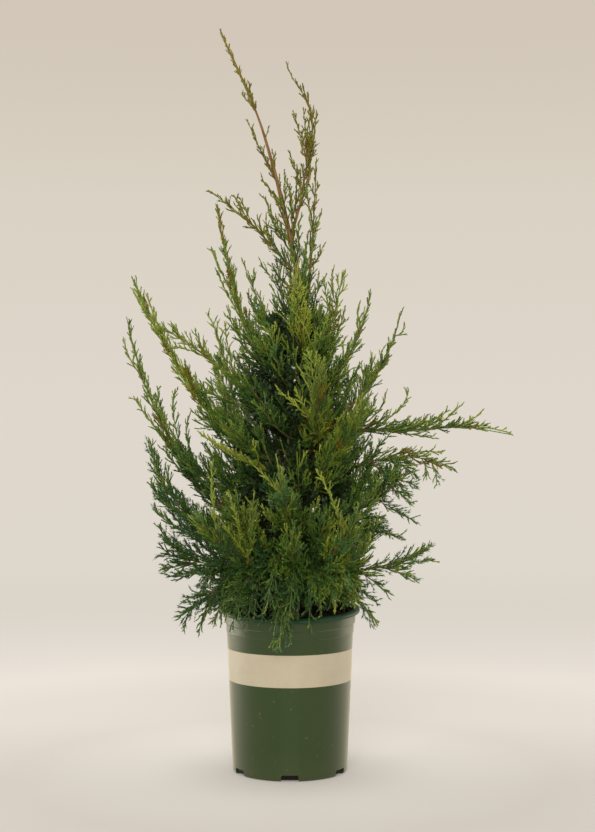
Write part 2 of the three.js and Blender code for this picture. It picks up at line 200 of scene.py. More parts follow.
def newTree(name, **inputs):  # the inputs' names, by the kind of socket
    tree = bpy.data.node_groups.new(name, "GeometryNodeTree")
    tree.interface.new_socket("Geometry", in_out="INPUT", socket_type="NodeSocketGeometry")
    tree.interface.new_socket("Geometry", in_out="OUTPUT", socket_type="NodeSocketGeometry")
    for kind, labels in inputs.items():
        for label in labels:
            tree.interface.new_socket(label, in_out="INPUT", socket_type=f"NodeSocket{kind}")
    board = Board(tree)
    source = tree.nodes.new("NodeGroupInput")
    return board, {socket.name: Wire(board, socket) for socket in source.outputs if socket.name}


def endTree(board, geometry, finish):
    whole = board.node("GeometryNodeRealizeInstances", None, {"Geometry": geometry})
    coated = board.node("GeometryNodeSetMaterial", None, {"Geometry": whole, "Material": finish})
    board.node("NodeGroupOutput", None, {"Geometry": coated})


def runTree(piece, tree, values):  # the modifier's result becomes the piece's own plain mesh
    modifier = piece.modifiers.new(tree.name, "NODES")
    modifier.node_group = tree
    for item in tree.interface.items_tree:
        if item.in_out == "INPUT" and item.name in values:
            modifier[item.identifier] = values[item.name]
    graph = bpy.context.evaluated_depsgraph_get()
    made = bpy.data.meshes.new_from_object(piece.evaluated_get(graph), depsgraph=graph)
    piece.modifiers.clear()
    piece.data = made
    made.name = piece.name


def triangles(mesh):
    return sum(len(face.vertices) - 2 for face in mesh.polygons)


# Camera

view = {"place": (0.01125, -2.4, 0.53), "lens": 69.2, "sensor": 36.0}

lens = bpy.data.cameras.new("camera")
lens.lens, lens.sensor_width = view["lens"], view["sensor"]
camera = addObject("camera", lens)
camera.location = view["place"]
camera.rotation_euler = (math.pi / 2, 0, 0)
bpy.context.scene.camera = camera
print("camera placed")


# Pot

pot = {
    "height": 245, "lipRadius": 105, "lipHeight": 7, "collarRadius": 98, "collarFoot": 221,
    "neckRadius": 95.6, "neckFoot": 208, "dip": 7, "wallRadius": 94.6, "footRadius": 86, "wall": 2.2,
    "floor": 3, "columns": 180, "sharp": 38, "bandFoot": 137, "bandTop": 184, "notches": 6,
    "notchWidth": 25, "notchHeight": 9.5, "notchDepth": 13, "notchCorner": 2.2, "notchBelow": 10,
    "green": rgb(34, 56, 10), "dull": rgb(42, 60, 18), "dust": rgb(120, 116, 92), "scuff": rgb(150, 146, 120),
    "sheen": rgb(255, 244, 206), "cream": rgb(186, 176, 152), "stain": rgb(172, 161, 137),
    "fleck": rgb(168, 156, 128), "lip": (rgb(14, 54, 27), rgb(30, 66, 38)), "lipRoughness": 0.46,
    # the inside colours paint the rim's inner wall near-black brown: painted shade in the pot, smeared like
    # soil
    "inside": (rgb(24, 24, 14), rgb(44, 38, 26)), "insideRoughness": 0.7,
}


def rounded(corners, steps=5):  # a profile whose corners (radius, height, rounding) are turned into arcs
    points = []
    for i, (x, z, rounding) in enumerate(corners):
        here = np.array((x, z), float)
        if not rounding:
            points.append(here)
            continue
        before, after = (np.array(corners[i + k][:2], float) - here for k in (-1, 1))
        before, after = before / np.linalg.norm(before), after / np.linalg.norm(after)
        for t in np.linspace(0, 1, steps):
            points.append(here + rounding * (before * (1 - t) ** 2 + after * t ** 2))
    return np.array(points)


def turned(name, profile, columns):  # a profile spun round Z, whose ends lie on the axis
    angles = np.linspace(0, 2 * math.pi, columns, endpoint=False)
    points = [(0, 0, profile[0][1])]
    for r, z in profile[1:-1]:
        points += [(r * math.cos(a), r * math.sin(a), z) for a in angles]
    points.append((0, 0, profile[-1][1]))
    last = len(points) - 1
    faces = [(0, 1 + (k + 1) % columns, 1 + k) for k in range(columns)]
    faces += ringFaces(len(profile) - 2, columns, 1)
    faces += [(last - columns + k, last - columns + (k + 1) % columns, last) for k in range(columns)]
    return meshFrom(name, np.array(points) * mm, faces)


def potProfile():  # up the outside, over the lip and down the inside
    lip, lipFoot, top = pot["lipRadius"], pot["height"] - pot["lipHeight"], pot["height"]
    collar, neck, wall, thick = pot["collarRadius"], pot["neckRadius"], pot["wallRadius"], pot["wall"]
    return rounded([
        (0, 0, 0), (pot["footRadius"] - 0.2, 0, 4), (wall, pot["neckFoot"], 0.3),
        (neck, pot["neckFoot"] + 0.7, 0.5), (neck, pot["collarFoot"], 0.5),
        (collar, pot["collarFoot"] + 1.6, 0.9), (collar, lipFoot, 0.8), (lip - 0.6, lipFoot - 0.6, 1.4),
        (lip, top - pot["lipHeight"] / 2, 1.6), (lip - 3.6, top, 2.2), (collar - thick, top - 0.6, 1.5),
        (collar - thick - 0.4, lipFoot - 2, 1), (wall - thick, pot["neckFoot"], 1),
        (pot["footRadius"] - thick, pot["floor"], 2), (0, pot["floor"], 0),
    ])


def rimDip(y, z):  # the soft rim hangs lower at the front
    rise = max(0, (z - pot["bandTop"]) / (pot["height"] - pot["bandTop"]))
    return pot["dip"] * rise * max(0, -y / pot["lipRadius"])


def notchCutter():  # a rounded block for each drain slot
    half, top, corner = pot["notchWidth"] / 2, pot["notchHeight"], pot["notchCorner"]
    bends = [(half - corner + corner * math.cos(a), top - corner + corner * math.sin(a))
             for a in np.linspace(0, math.pi / 2, 5)]
    arch = [(-half - 1, -pot["notchBelow"])] + [(-x, z) for x, z in bends]
    arch += bends[::-1] + [(half + 1, -pot["notchBelow"])]
    points, faces = [], []
    for i in range(pot["notches"]):
        turn = Matrix.Rotation(i * 2 * math.pi / pot["notches"], 3, "Z")
        start = len(points)
        for depth in (-pot["footRadius"] - pot["notchDepth"], -pot["footRadius"] + pot["notchDepth"]):
            points += [turn @ Vector((x, depth, z)) for x, z in arch]
        count = len(arch)
        faces.append([start + k for k in range(count)])
        faces.append([start + count + k for k in reversed(range(count))])
        for k in range(count):
            after = (k + 1) % count
            faces.append((start + after, start + k, start + count + k, start + count + after))
    mesh = meshFrom("notchCutter", np.array(points) * mm, faces, False)
    work = bmesh.new()
    work.from_mesh(mesh)
    bmesh.ops.recalc_face_normals(work, faces=work.faces)
    work.to_mesh(mesh)
    work.free()
    return addObject("notchCutter", mesh)


def potFinish():
    finish = Finish("potPlastic", {"Base Color": pot["green"], "Sheen Weight": 0.58, "Sheen Roughness": 0.35,
                                   "Sheen Tint": pot["sheen"]})
    place = finish.place()
    height = finish.node("ShaderNodeSeparateXYZ", None, {0: place}, output="Z")
    cloud = finish.speckle(finish.stretch(place, (9, 9, 5)), 1, 4)
    grain = finish.speckle(place, 900, 2)
    flow = finish.speckle(finish.stretch(place, (60, 60, 3)), 1, 3)
    green = finish.blend(finish.step(cloud, 0.35, 0.7, 0.7), pot["green"], pot["dull"])
    dust = finish.ramp(height + cloud * 0.02, [(0.0, (1, 1, 1)), (0.055, (0, 0, 0))])  # round the foot
    dusty = finish.blend(dust * 0.1, green, pot["dust"])
    scuffs = finish.step(finish.speckle(place, 150, 1), 0.73, 0.76)
    plastic = finish.blend(scuffs * 0.15, dusty, pot["scuff"])
    stains = finish.step(finish.speckle(place, 34, 5, 0.65), 0.4, 0.75, 0.55)
    flecks = finish.step(finish.speckle(place, 420, 1), 0.70, 0.74)
    paper = finish.blend(flecks * 0.4, finish.blend(stains, pot["cream"], pot["stain"]), pot["fleck"])
    band = (height > pot["bandFoot"] * mm) * (height < pot["bandTop"] * mm)
    finish.feed("Base Color", finish.blend(band, plastic, paper))
    finish.feed("Roughness", 0.26 + cloud * 0.08 + grain * 0.06 + band * 0.16)
    finish.bump(grain * 0.5 + flow, 0.10, 0.0006)
    return finish.material


def rimFinish(name, colours, roughness):
    finish = Finish(name, {"Base Color": colours[0], "Specular IOR Level": 0.3})
    place = finish.place()
    smear = finish.speckle(place, 70, 5, 0.6)
    finish.feed("Base Color", finish.blend(finish.step(smear, 0.4, 0.7), *colours))
    finish.feed("Roughness", roughness + smear * 0.2)
    finish.bump(finish.speckle(place, 900, 2), 0.1, 0.0004)
    return finish.material


def makePot():
    mesh = turned("pot_shell", potProfile(), pot["columns"])
    for vertex in mesh.vertices:
        _, y, z = vertex.co / mm
        vertex.co.z -= rimDip(y, z) * mm
    piece = addObject("pot_shell", mesh)
    cutter = notchCutter()
    cut = piece.modifiers.new("notches", "BOOLEAN")
    cut.object, cut.operation, cut.solver = cutter, "DIFFERENCE", "EXACT"
    graph = bpy.context.evaluated_depsgraph_get()
    piece.data = bpy.data.meshes.new_from_object(piece.evaluated_get(graph), depsgraph=graph)
    piece.modifiers.clear()
    bpy.data.objects.remove(cutter)
    piece.data.polygons.foreach_set("use_smooth", [True] * len(piece.data.polygons))
    piece.data.set_sharp_from_angle(angle=math.radians(pot["sharp"]))
    piece.data.materials.clear()
    piece.data.materials.append(potFinish())
    piece.data.materials.append(rimFinish("potLip", pot["lip"], pot["lipRoughness"]))
    piece.data.materials.append(rimFinish("potInside", pot["inside"], pot["insideRoughness"]))
    lipFoot = pot["height"] - pot["lipHeight"]
    for face in piece.data.polygons:
        x, y, z = face.center / mm
        inwards = -(face.normal.x * x + face.normal.y * y) / max(1, math.hypot(x, y))
        # faces of the inner wall above the neck take the near-black inside finish, painted shade
        if inwards > 0.5 and z > pot["neckFoot"]:
            face.material_index = 2  # the inside
        elif z > lipFoot - 0.75 - rimDip(y, lipFoot):
            face.material_index = 1  # the lip
    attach(piece, "root")
    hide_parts("pot")
    print("pot turned,", triangles(piece.data), "triangles")


makePot()


# Soil

soil = {
    "level": 224, "flatRadius": 12, "edgeRise": 5, "backRise": 8, "riseWithin": 70, "lumps": 2.2,
    "lumpScale": 0.055, "fade": 25, "columns": 96, "rings": 34, "side": (197, 205), "topFrom": 210, "tuck": 3,
    "mix": (rgb(22, 18, 14), rgb(50, 36, 26)), "chip": (rgb(32, 24, 17), rgb(74, 52, 36)),
    "chips": 26000, "chipReach": 0.088, "chipSize": (0.0016, 0.0052), "seed": 5,
}


def insideRadius(height):
    share = np.clip((height - pot["floor"]) / (pot["neckFoot"] - pot["floor"]), 0, 1)
    return pot["footRadius"] + (pot["wallRadius"] - pot["footRadius"]) * share - pot["wall"]


def soilHeight(x, y):  # lumps that fade out round the trunk, heaped up towards the wall
    reach = math.hypot(x, y)
    lumps = noise.fractal(Vector((x, y, 3)) * soil["lumpScale"], 0.7, 2.2, 4)
    fade = min(1, max(0, (reach - soil["flatRadius"]) / soil["fade"]))
    edge = soil["edgeRise"] + soil["backRise"] * max(0, y / insideRadius(soil["level"]))
    return soil["level"] + edge * min(1, reach / soil["riseWithin"]) + fade * soil["lumps"] * lumps


def soilFinish(name, colours):
    finish = Finish(name, {"Base Color": colours[0], "Specular IOR Level": 0.25})
    crumbs = finish.speckle(finish.place(), 260, 5, 0.65)
    finish.feed("Base Color", finish.blend(finish.step(crumbs, 0.42, 0.68), *colours))
    finish.feed("Roughness", 0.8 + crumbs * 0.2)
    finish.bump(crumbs, 0.6, 0.0015)
    return finish.material


def chipTree():
    board, source = newTree("barkChips", Float=("Density", "Reach", "Smallest", "Largest"), Int=("Seed",),
                            Object=("Chip",), Material=("Finish",))
    up = board.node("ShaderNodeSeparateXYZ", None, {0: board.node("GeometryNodeInputNormal")}, output="Z")
    flat = board.node("ShaderNodeVectorMath", {"operation": "MULTIPLY"},
                      {0: board.node("GeometryNodeInputPosition"), 1: (1, 1, 0)})
    reach = board.node("ShaderNodeVectorMath", {"operation": "LENGTH"}, {0: flat}, output="Value")
    spread = {"Mesh": source["Geometry"], "Selection": (up > 0.3) * (reach < source["Reach"]),
              "Density": source["Density"], "Seed": source["Seed"]}
    points = board.node("GeometryNodeDistributePointsOnFaces", {"distribute_method": "RANDOM"}, spread)
    turn = board.chance("FLOAT_VECTOR", (-0.5, -0.5, 0.0), (0.5, 0.5, 6.28), source["Seed"])
    size = board.chance("FLOAT", source["Smallest"], source["Largest"], source["Seed"] + 1)
    rotation = board.node("FunctionNodeEulerToRotation", None, {0: turn})
    chips = board.node("GeometryNodeInstanceOnPoints", None,
                       {"Points": points, "Instance": board.pattern(source["Chip"]), "Rotation": rotation,
                        "Scale": size})
    endTree(board, chips, source["Finish"])
    return board.tree


def makeSoil():
    edge, foot = soil["level"] + soil["edgeRise"], pot["floor"] + 0.3
    widthAt, side = soil["side"]  # the height whose width is taken, and the height where the side ends
    profile = [(0, foot), (insideRadius(pot["floor"]) - 0.5, foot), (insideRadius(widthAt) - 0.4, side)]
    profile += [(r, edge) for r in np.linspace(insideRadius(edge) + soil["tuck"], 2, soil["rings"])]
    profile.append((0, edge))
    mesh = turned("soil_bed", np.array(profile), soil["columns"])
    for vertex in mesh.vertices:
        x, y, z = vertex.co / mm
        if z > soil["topFrom"]:
            vertex.co.z = soilHeight(x, y) * mm
    piece = addObject("soil_bed", mesh)
    mesh.materials.append(soilFinish("pottingMix", soil["mix"]))
    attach(piece, "root")
    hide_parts("soil")

    chipPoints = np.array([(-1, -.5, -.2), (.9, -.6, -.1), (1.1, .5, -.25), (-.8, .6, -.1),
                           (-.8, -.4, .25), (.7, -.45, .3), (.9, .35, .2), (-.6, .45, .35)])
    chipFaces = [(3, 2, 1, 0), (4, 5, 6, 7), (0, 1, 5, 4), (1, 2, 6, 5), (2, 3, 7, 6), (3, 0, 4, 7)]
    chip = addObject("barkChip", meshFrom("barkChip", chipPoints, chipFaces, False))
    chips = addObject("soil_chips", piece.data.copy())
    runTree(chips, chipTree(), {"Density": soil["chips"], "Reach": soil["chipReach"], "Seed": soil["seed"],
                                "Smallest": soil["chipSize"][0], "Largest": soil["chipSize"][1], "Chip": chip,
                                "Finish": soilFinish("barkChipBrown", soil["chip"])})
    bpy.data.objects.remove(chip)
    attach(chips, "root")
    print("soil filled,", triangles(chips.data), "chip triangles")


makeSoil()


# Lines of the trunk and the branches, as in the part's source

trunk = {
    "path": [(0, 0, 224), (4, 0, 262), (27, 4, 480), (16, 0, 712), (-9, 0, 839), (-28, 0, 914), (-50, 0, 984),
             (-106, 0, 1110)],
    "radius": 7.5, "tipRadius": 0.8, "taper": 0.85, "flare": 5, "flareHeight": 26, "bareHeight": 985,
    "columns": 28, "rings": 300, "relief": 0.4, "points": 600,
}

# from is the height on the trunk, knee where the branch turns and tip where it ends, or path is its line.
# bare is its woody share, reach the length of its longest side shoots, gap their spacing, leave their angle,
# tone how light the spray is, and young and bronze the shares of soft, needled shoots and of bronze ones.
branches = {
    "leader_side": {"from": 880, "knee": (-40, -8, 915), "tip": (-63, -9, 970), "reach": 16, "gap": 7,
                    "leave": 20},
    "second_leader": {"bare": 0.22, "girth": 0.75, "reach": 24, "gap": 7.5, "leave": 20, "tone": 0.46,
                      "path": [(0, 0, 796), (10, -2, 829), (18, -4, 859), (22, -5, 890), (27, -6, 912),
                               (33, -7, 945), (32, -9, 983), (24, -10, 1004), (8, -11, 1028),
                               (-4, -12, 1050)]},
    "third_leader": {"from": 665, "knee": (34, 12, 760), "tip": (40, 14, 920), "bare": 0.4, "reach": 26,
                     "gap": 10, "leave": 22, "tone": 0.44},
    "top_left_arch": {"from": 735, "knee": (-34, -12, 805), "tip": (-122, -15, 867), "reach": 29, "gap": 7,
                      "leave": 22, "tone": 0.44},
    "top_left": {"from": 520, "knee": (-78, 6, 611), "tip": (-110, 10, 850), "bare": 0.36, "reach": 37,
                 "gap": 7.2, "leave": 15, "tone": 0.44, "bronze": 0.25, "spread": 0.85},
    "top_left_small": {"from": 610, "knee": (-34, 32, 650), "tip": (-74, 34, 772), "reach": 24, "gap": 8,
                       "leave": 24},
    "top_right_small": {"from": 590, "knee": (62, -20, 640), "tip": (78, -28, 742), "reach": 42, "gap": 7,
                        "leave": 24, "tone": 0.52, "bronze": 0.2},
    "top_right": {"from": 540, "knee": (92, 18, 590), "tip": (123, 16, 717), "bare": 0.25, "reach": 30,
                  "gap": 9, "leave": 15, "bronze": 0.25, "spread": 0.85},
    "top_front": {"from": 585, "knee": (18, -52, 620), "tip": (8, -46, 756), "reach": 58, "gap": 5.5,
                  "leave": 26, "tone": 0.66, "bronze": 0.2},
    "top_back": {"from": 575, "knee": (22, 62, 630), "tip": (-4, 70, 780), "reach": 66, "gap": 5.5,
                 "leave": 28},
    "left_tall": {"from": 400, "knee": (-136, -12, 509), "tip": (-234, -20, 733), "bare": 0.3, "reach": 53,
                  "gap": 6.6, "leave": 14, "tone": 0.52, "bronze": 0.1, "spread": 0.8},
    "left_arch": {"from": 480, "knee": (-80, -42, 600), "tip": (-192, -50, 663), "reach": 45, "gap": 6.4,
                  "leave": 22, "tone": 0.45, "bronze": 0.04},
    "left_outer": {"from": 330, "knee": (-190, 10, 400), "tip": (-247, 15, 680), "bare": 0.36, "reach": 43,
                   "gap": 7.4, "leave": 16, "tone": 0.38, "bronze": 0.12, "spread": 0.85},
    "right_tall": {"from": 497, "knee": (140, -12, 560), "tip": (166, -14, 687), "bare": 0.3, "reach": 26,
                   "gap": 9, "leave": 15, "tone": 0.38, "bronze": 0.16, "spread": 0.85},
    "right_long": {"bare": 0.36, "reach": 38, "gap": 4.2, "leave": 20, "lift": 0.32, "tone": 0.33,
                   "end": 0.78, "bronze": 0.1,
                   "path": [(27, 4, 470), (60, 4, 496), (104, 4, 507), (176, 4, 509), (262, 0, 513),
                            (333, -5, 502)]},
    "right_drooping": {"from": 415, "knee": (150, 20, 500), "tip": (251, 24, 449), "bare": 0.26, "reach": 44,
                       "gap": 6, "leave": 26, "lift": 0.0, "bronze": 0.12},
    "front_left": {"from": 430, "knee": (-55, -110, 452), "tip": (-124, -188, 506), "bare": 0.14,
                   "reach": 24, "gap": 3.4, "tone": 0.76, "leave": 13, "spread": 0.7},
    "front_middle": {"from": 470, "knee": (50, -115, 490), "tip": (34, -150, 610), "bare": 0.14, "reach": 66,
                     "gap": 5.5, "tone": 0.42, "bronze": 0.12, "leave": 32, "lift": 0.35},
    "front_right": {"from": 440, "knee": (70, -90, 460), "tip": (100, -160, 540), "bare": 0.14, "reach": 60,
                    "gap": 5.5, "tone": 0.46, "bronze": 0.1, "leave": 26, "lift": 0.35},
    "back_left": {"from": 440, "knee": (-70, 115, 480), "tip": (-122, 172, 620), "bare": 0.14, "reach": 80,
                  "gap": 5.5, "lift": 0.35},
    "back_middle": {"from": 390, "knee": (12, 140, 430), "tip": (18, 212, 560), "bare": 0.14, "reach": 80,
                    "gap": 5.5, "lift": 0.35},
    "back_right": {"from": 430, "knee": (88, 110, 480), "tip": (132, 172, 606), "bare": 0.14, "reach": 80,
                   "gap": 5.5, "lift": 0.35},
    "low_left_upright": {"from": 305, "knee": (-172, -34, 335), "tip": (-208, -40, 490), "bare": 0.26,
                         "reach": 62, "gap": 6, "young": 0.45, "leave": 26, "tone": 0.37},
    "low_left": {"from": 280, "knee": (-112, 24, 302), "tip": (-192, 18, 322), "reach": 64, "gap": 5.5,
                 "young": 0.45, "lift": 0.05, "leave": 26, "tone": 0.35},
    "low_left_hanging": {"from": 260, "knee": (-112, -34, 302), "tip": (-160, -46, 226), "reach": 50,
                         "gap": 7, "young": 0.55, "lift": -0.2, "leave": 26, "tone": 0.36},
    "low_right_upper": {"from": 340, "knee": (110, 12, 385), "tip": (180, 8, 446), "bare": 0.16, "reach": 52,
                        "gap": 6, "young": 0.45, "leave": 28, "tone": 0.4, "bronze": 0.15},
    "low_right": {"from": 276, "knee": (112, -2, 305), "tip": (217, 0, 314), "bare": 0.14, "reach": 42,
                  "gap": 7, "young": 0.45, "lift": 0.05, "leave": 24, "bronze": 0.12},
    "low_right_hanging": {"from": 258, "knee": (92, -62, 302), "tip": (124, -72, 226), "reach": 48, "gap": 7,
                          "young": 0.55, "lift": -0.2, "leave": 28},
    "low_front_left": {"from": 286, "knee": (-70, -112, 308), "tip": (-128, -180, 384), "bare": 0.14,
                       "reach": 66, "gap": 5.5, "young": 0.4, "tone": 0.4, "leave": 28, "lift": 0.3},
    "low_front_middle": {"from": 350, "knee": (6, -112, 352), "tip": (-14, -196, 446), "reach": 66,
                         "gap": 5.5, "young": 0.35, "tone": 0.45, "leave": 28, "lift": 0.3},
    "low_front_right": {"from": 292, "knee": (62, -112, 312), "tip": (95, -184, 392), "bare": 0.14,
                        "reach": 66, "gap": 5.5, "young": 0.4, "tone": 0.42, "leave": 28, "lift": 0.3},
    "low_front_hanging": {"from": 254, "knee": (-8, -128, 312), "tip": (-14, -148, 203), "reach": 50,
                          "gap": 7, "young": 0.8, "lift": -0.25},
    "low_back_left": {"from": 316, "knee": (-80, 112, 310), "tip": (-128, 178, 360), "bare": 0.14,
                      "reach": 78, "gap": 5.5, "young": 0.2, "lift": 0.3},
    "low_back_right": {"from": 302, "knee": (84, 110, 305), "tip": (130, 174, 352), "bare": 0.14,
                       "reach": 78, "gap": 5.5, "young": 0.2, "lift": 0.3},
}
usual = {"bare": 0, "woody": 0, "leave": 34, "lift": 0.18, "tone": 0.42, "young": 0, "start": 0.04,
         "wood": (1.8, 0.25), "spread": 1.0, "girth": 1.0, "cord": (1.0, 0.6), "bronze": 0}
branchSteps = 40


def throughPoints(points, count):  # a centripetal curve through the points
    points = np.array(points, float)
    ends = np.vstack([2 * points[0] - points[1], points, 2 * points[-1] - points[-2]])
    steps = np.sqrt(np.linalg.norm(np.diff(ends, axis=0), axis=1))
    line = []
    for t in np.linspace(0, len(points) - 1, count):
        i = min(int(t), len(points) - 2)
        a, b, c, d = ends[i:i + 4]
        da, db, dc = steps[i:i + 3]
        leaving = ((b - a) / da - (c - a) / (da + db) + (c - b) / db) * db
        arriving = ((c - b) / db - (d - b) / (db + dc) + (d - c) / dc) * db
        s = t - i
        line.append(b + leaving * s + (-3 * b + 3 * c - 2 * leaving - arriving) * s ** 2
                    + (2 * b - 2 * c + leaving + arriving) * s ** 3)
    return np.array(line)


def bent(start, knee, tip, count):  # curves with one bend each, for any number of shoots at once
    t = np.linspace(0, 1, count)[:, None]
    start, knee, tip = (np.asarray(p, float)[..., None, :] for p in (start, knee, tip))
    return (1 - t) ** 2 * start + 2 * t * (1 - t) * knee + t ** 2 * tip


def unit(vectors):
    return vectors / np.linalg.norm(vectors, axis=-1, keepdims=True)


def lengthsOf(lines):
    return np.linalg.norm(np.diff(lines, axis=-2), axis=-1).sum(-1)


def atPlaces(line, places):  # points of a line at whole and part steps
    return np.array([np.interp(places, range(len(line)), line[:, k]) for k in range(3)]).T


trunkLine = throughPoints(trunk["path"], trunk["points"])


def trunkAt(height):
    return np.array([np.interp(height, trunkLine[:, 2], trunkLine[:, k]) for k in range(3)])


def trunkRadius(along, z):
    flare = trunk["flare"] * np.maximum(0, 1 - (z - trunk["path"][0][2]) / trunk["flareHeight"]) ** 2
    return trunk["radius"] + (trunk["tipRadius"] - trunk["radius"]) * along ** trunk["taper"] + flare


# Bark

bark = {"rootRadius": 3.6, "tipRadius": 2.0, "columns": 14, "step": 2.2, "fewest": 8, "relief": 0.3,
        "strip": (3.1, 0.035), "flake": (6.5, 0.11), "red": rgb(126, 92, 54), "dark": rgb(74, 50, 28),
        "grey": rgb(150, 128, 92)}


def barkTube(line, radii, columns, relief, level=False):  # a limb with shredding strips of bark along it
    forward = unit(np.gradient(line, axis=0))
    across = unit(np.cross(forward, (0.13, 1.0, 0.07)))
    if level:
        forward[:], across[:] = (0, 0, 1), (1, 0, 0)
    over = np.cross(forward, across)
    along = np.concatenate([[0], np.cumsum(np.linalg.norm(np.diff(line, axis=0), axis=1))])
    stripWide, stripLong = bark["strip"]
    flakeWide, flakeLong = bark["flake"]
    points, grain = [], []
    for i, centre in enumerate(line):
        for k in range(columns):
            angle = 2 * math.pi * k / columns
            around = Vector((math.cos(angle), math.sin(angle), 0))
            stripAt = Vector((around.x * stripWide, around.y * stripWide, along[i] * stripLong))
            flakeAt = Vector((around.x * flakeWide + 9, around.y * flakeWide, along[i] * flakeLong))
            raised = 0.9 * noise.noise(stripAt) + 0.55 * max(0, noise.noise(flakeAt))
            lift = relief * raised * min(1, radii[i] / 3)
            points.append(centre + (radii[i] + lift) * (across[i] * around.x + over[i] * around.y))
            grain.append((around.x, around.y, along[i] * mm))
    faces = ringFaces(len(line), columns)
    faces.append(list(reversed(range(columns))))
    faces.append([(len(line) - 1) * columns + k for k in range(columns)])
    return np.array(points), faces, np.array(grain)


def barkFinish():
    finish = Finish("juniperBark", {"Base Color": bark["red"], "Specular IOR Level": 0.25})
    grain = finish.node("ShaderNodeAttribute", {"attribute_name": "grain"}, output="Vector")
    strips = finish.speckle(finish.stretch(grain, (4, 4, 60)), 1, 5, 0.6)
    fibre = finish.speckle(finish.stretch(grain, (14, 14, 150)), 1, 4, 0.6)
    mix = strips * 0.6 + fibre * 0.4
    colours = [(0.34, bark["dark"]), (0.5, bark["red"]), (0.68, bark["grey"])]
    finish.feed("Base Color", finish.ramp(mix, colours))
    finish.feed("Roughness", 0.7 + fibre * 0.25)
    finish.bump(mix, 0.5, 0.0008)
    return finish.material


def barkPiece(name, tubes, nodes):
    points = np.vstack([tube[0] for tube in tubes]) * mm
    faces, start = [], 0
    for tube in tubes:
        faces += [[start + k for k in face] for face in tube[1]]
        start += len(tube[0])
    mesh = meshFrom(name, points, faces)
    mesh.attributes.new("grain", "FLOAT_VECTOR", "POINT").data.foreach_set(
        "vector", np.vstack([tube[2] for tube in tubes]).ravel())
    mesh.materials.append(barkMaterial)
    piece = addObject(name, mesh)
    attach(piece, "root")
    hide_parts(*nodes)
    print(name, triangles(mesh), "triangles")


def makeTrunk():
    top = np.searchsorted(trunkLine[:, 2], trunk["bareHeight"])
    places = np.linspace(0, top, trunk["rings"])
    line = atPlaces(trunkLine, places)
    radii = trunkRadius(places / len(trunkLine), line[:, 2])
    barkPiece("trunk_bark", [barkTube(line, radii, trunk["columns"], trunk["relief"], level=True)], ["trunk"])


def makeBoughs():
    tubes = []
    for branch in branches.values():
        if branch["bare"]:
            part = branch["line"][:branch["woody"] + 1]
            count = max(bark["fewest"], int(lengthsOf(part) / bark["step"]))
            line = atPlaces(part, np.linspace(0, len(part) - 1, count))
            radii = np.linspace(bark["rootRadius"], bark["tipRadius"], count) * branch["girth"]
            tubes.append(barkTube(line, radii, bark["columns"], bark["relief"]))
    barkPiece("bough_bark", tubes, [f"bough_{name}" for name in branches if branches[name]["bare"]])


for branch in branches.values():
    for key, value in usual.items():
        branch.setdefault(key, value)
    if "path" in branch:
        branch["line"] = throughPoints(branch["path"], branchSteps + 1)
    else:
        branch["line"] = bent(trunkAt(branch["from"]), branch["knee"], branch["tip"], branchSteps + 1)
    branch["woody"] = round(branch["bare"] * branchSteps)
barkMaterial = barkFinish()
makeTrunk()
makeBoughs()


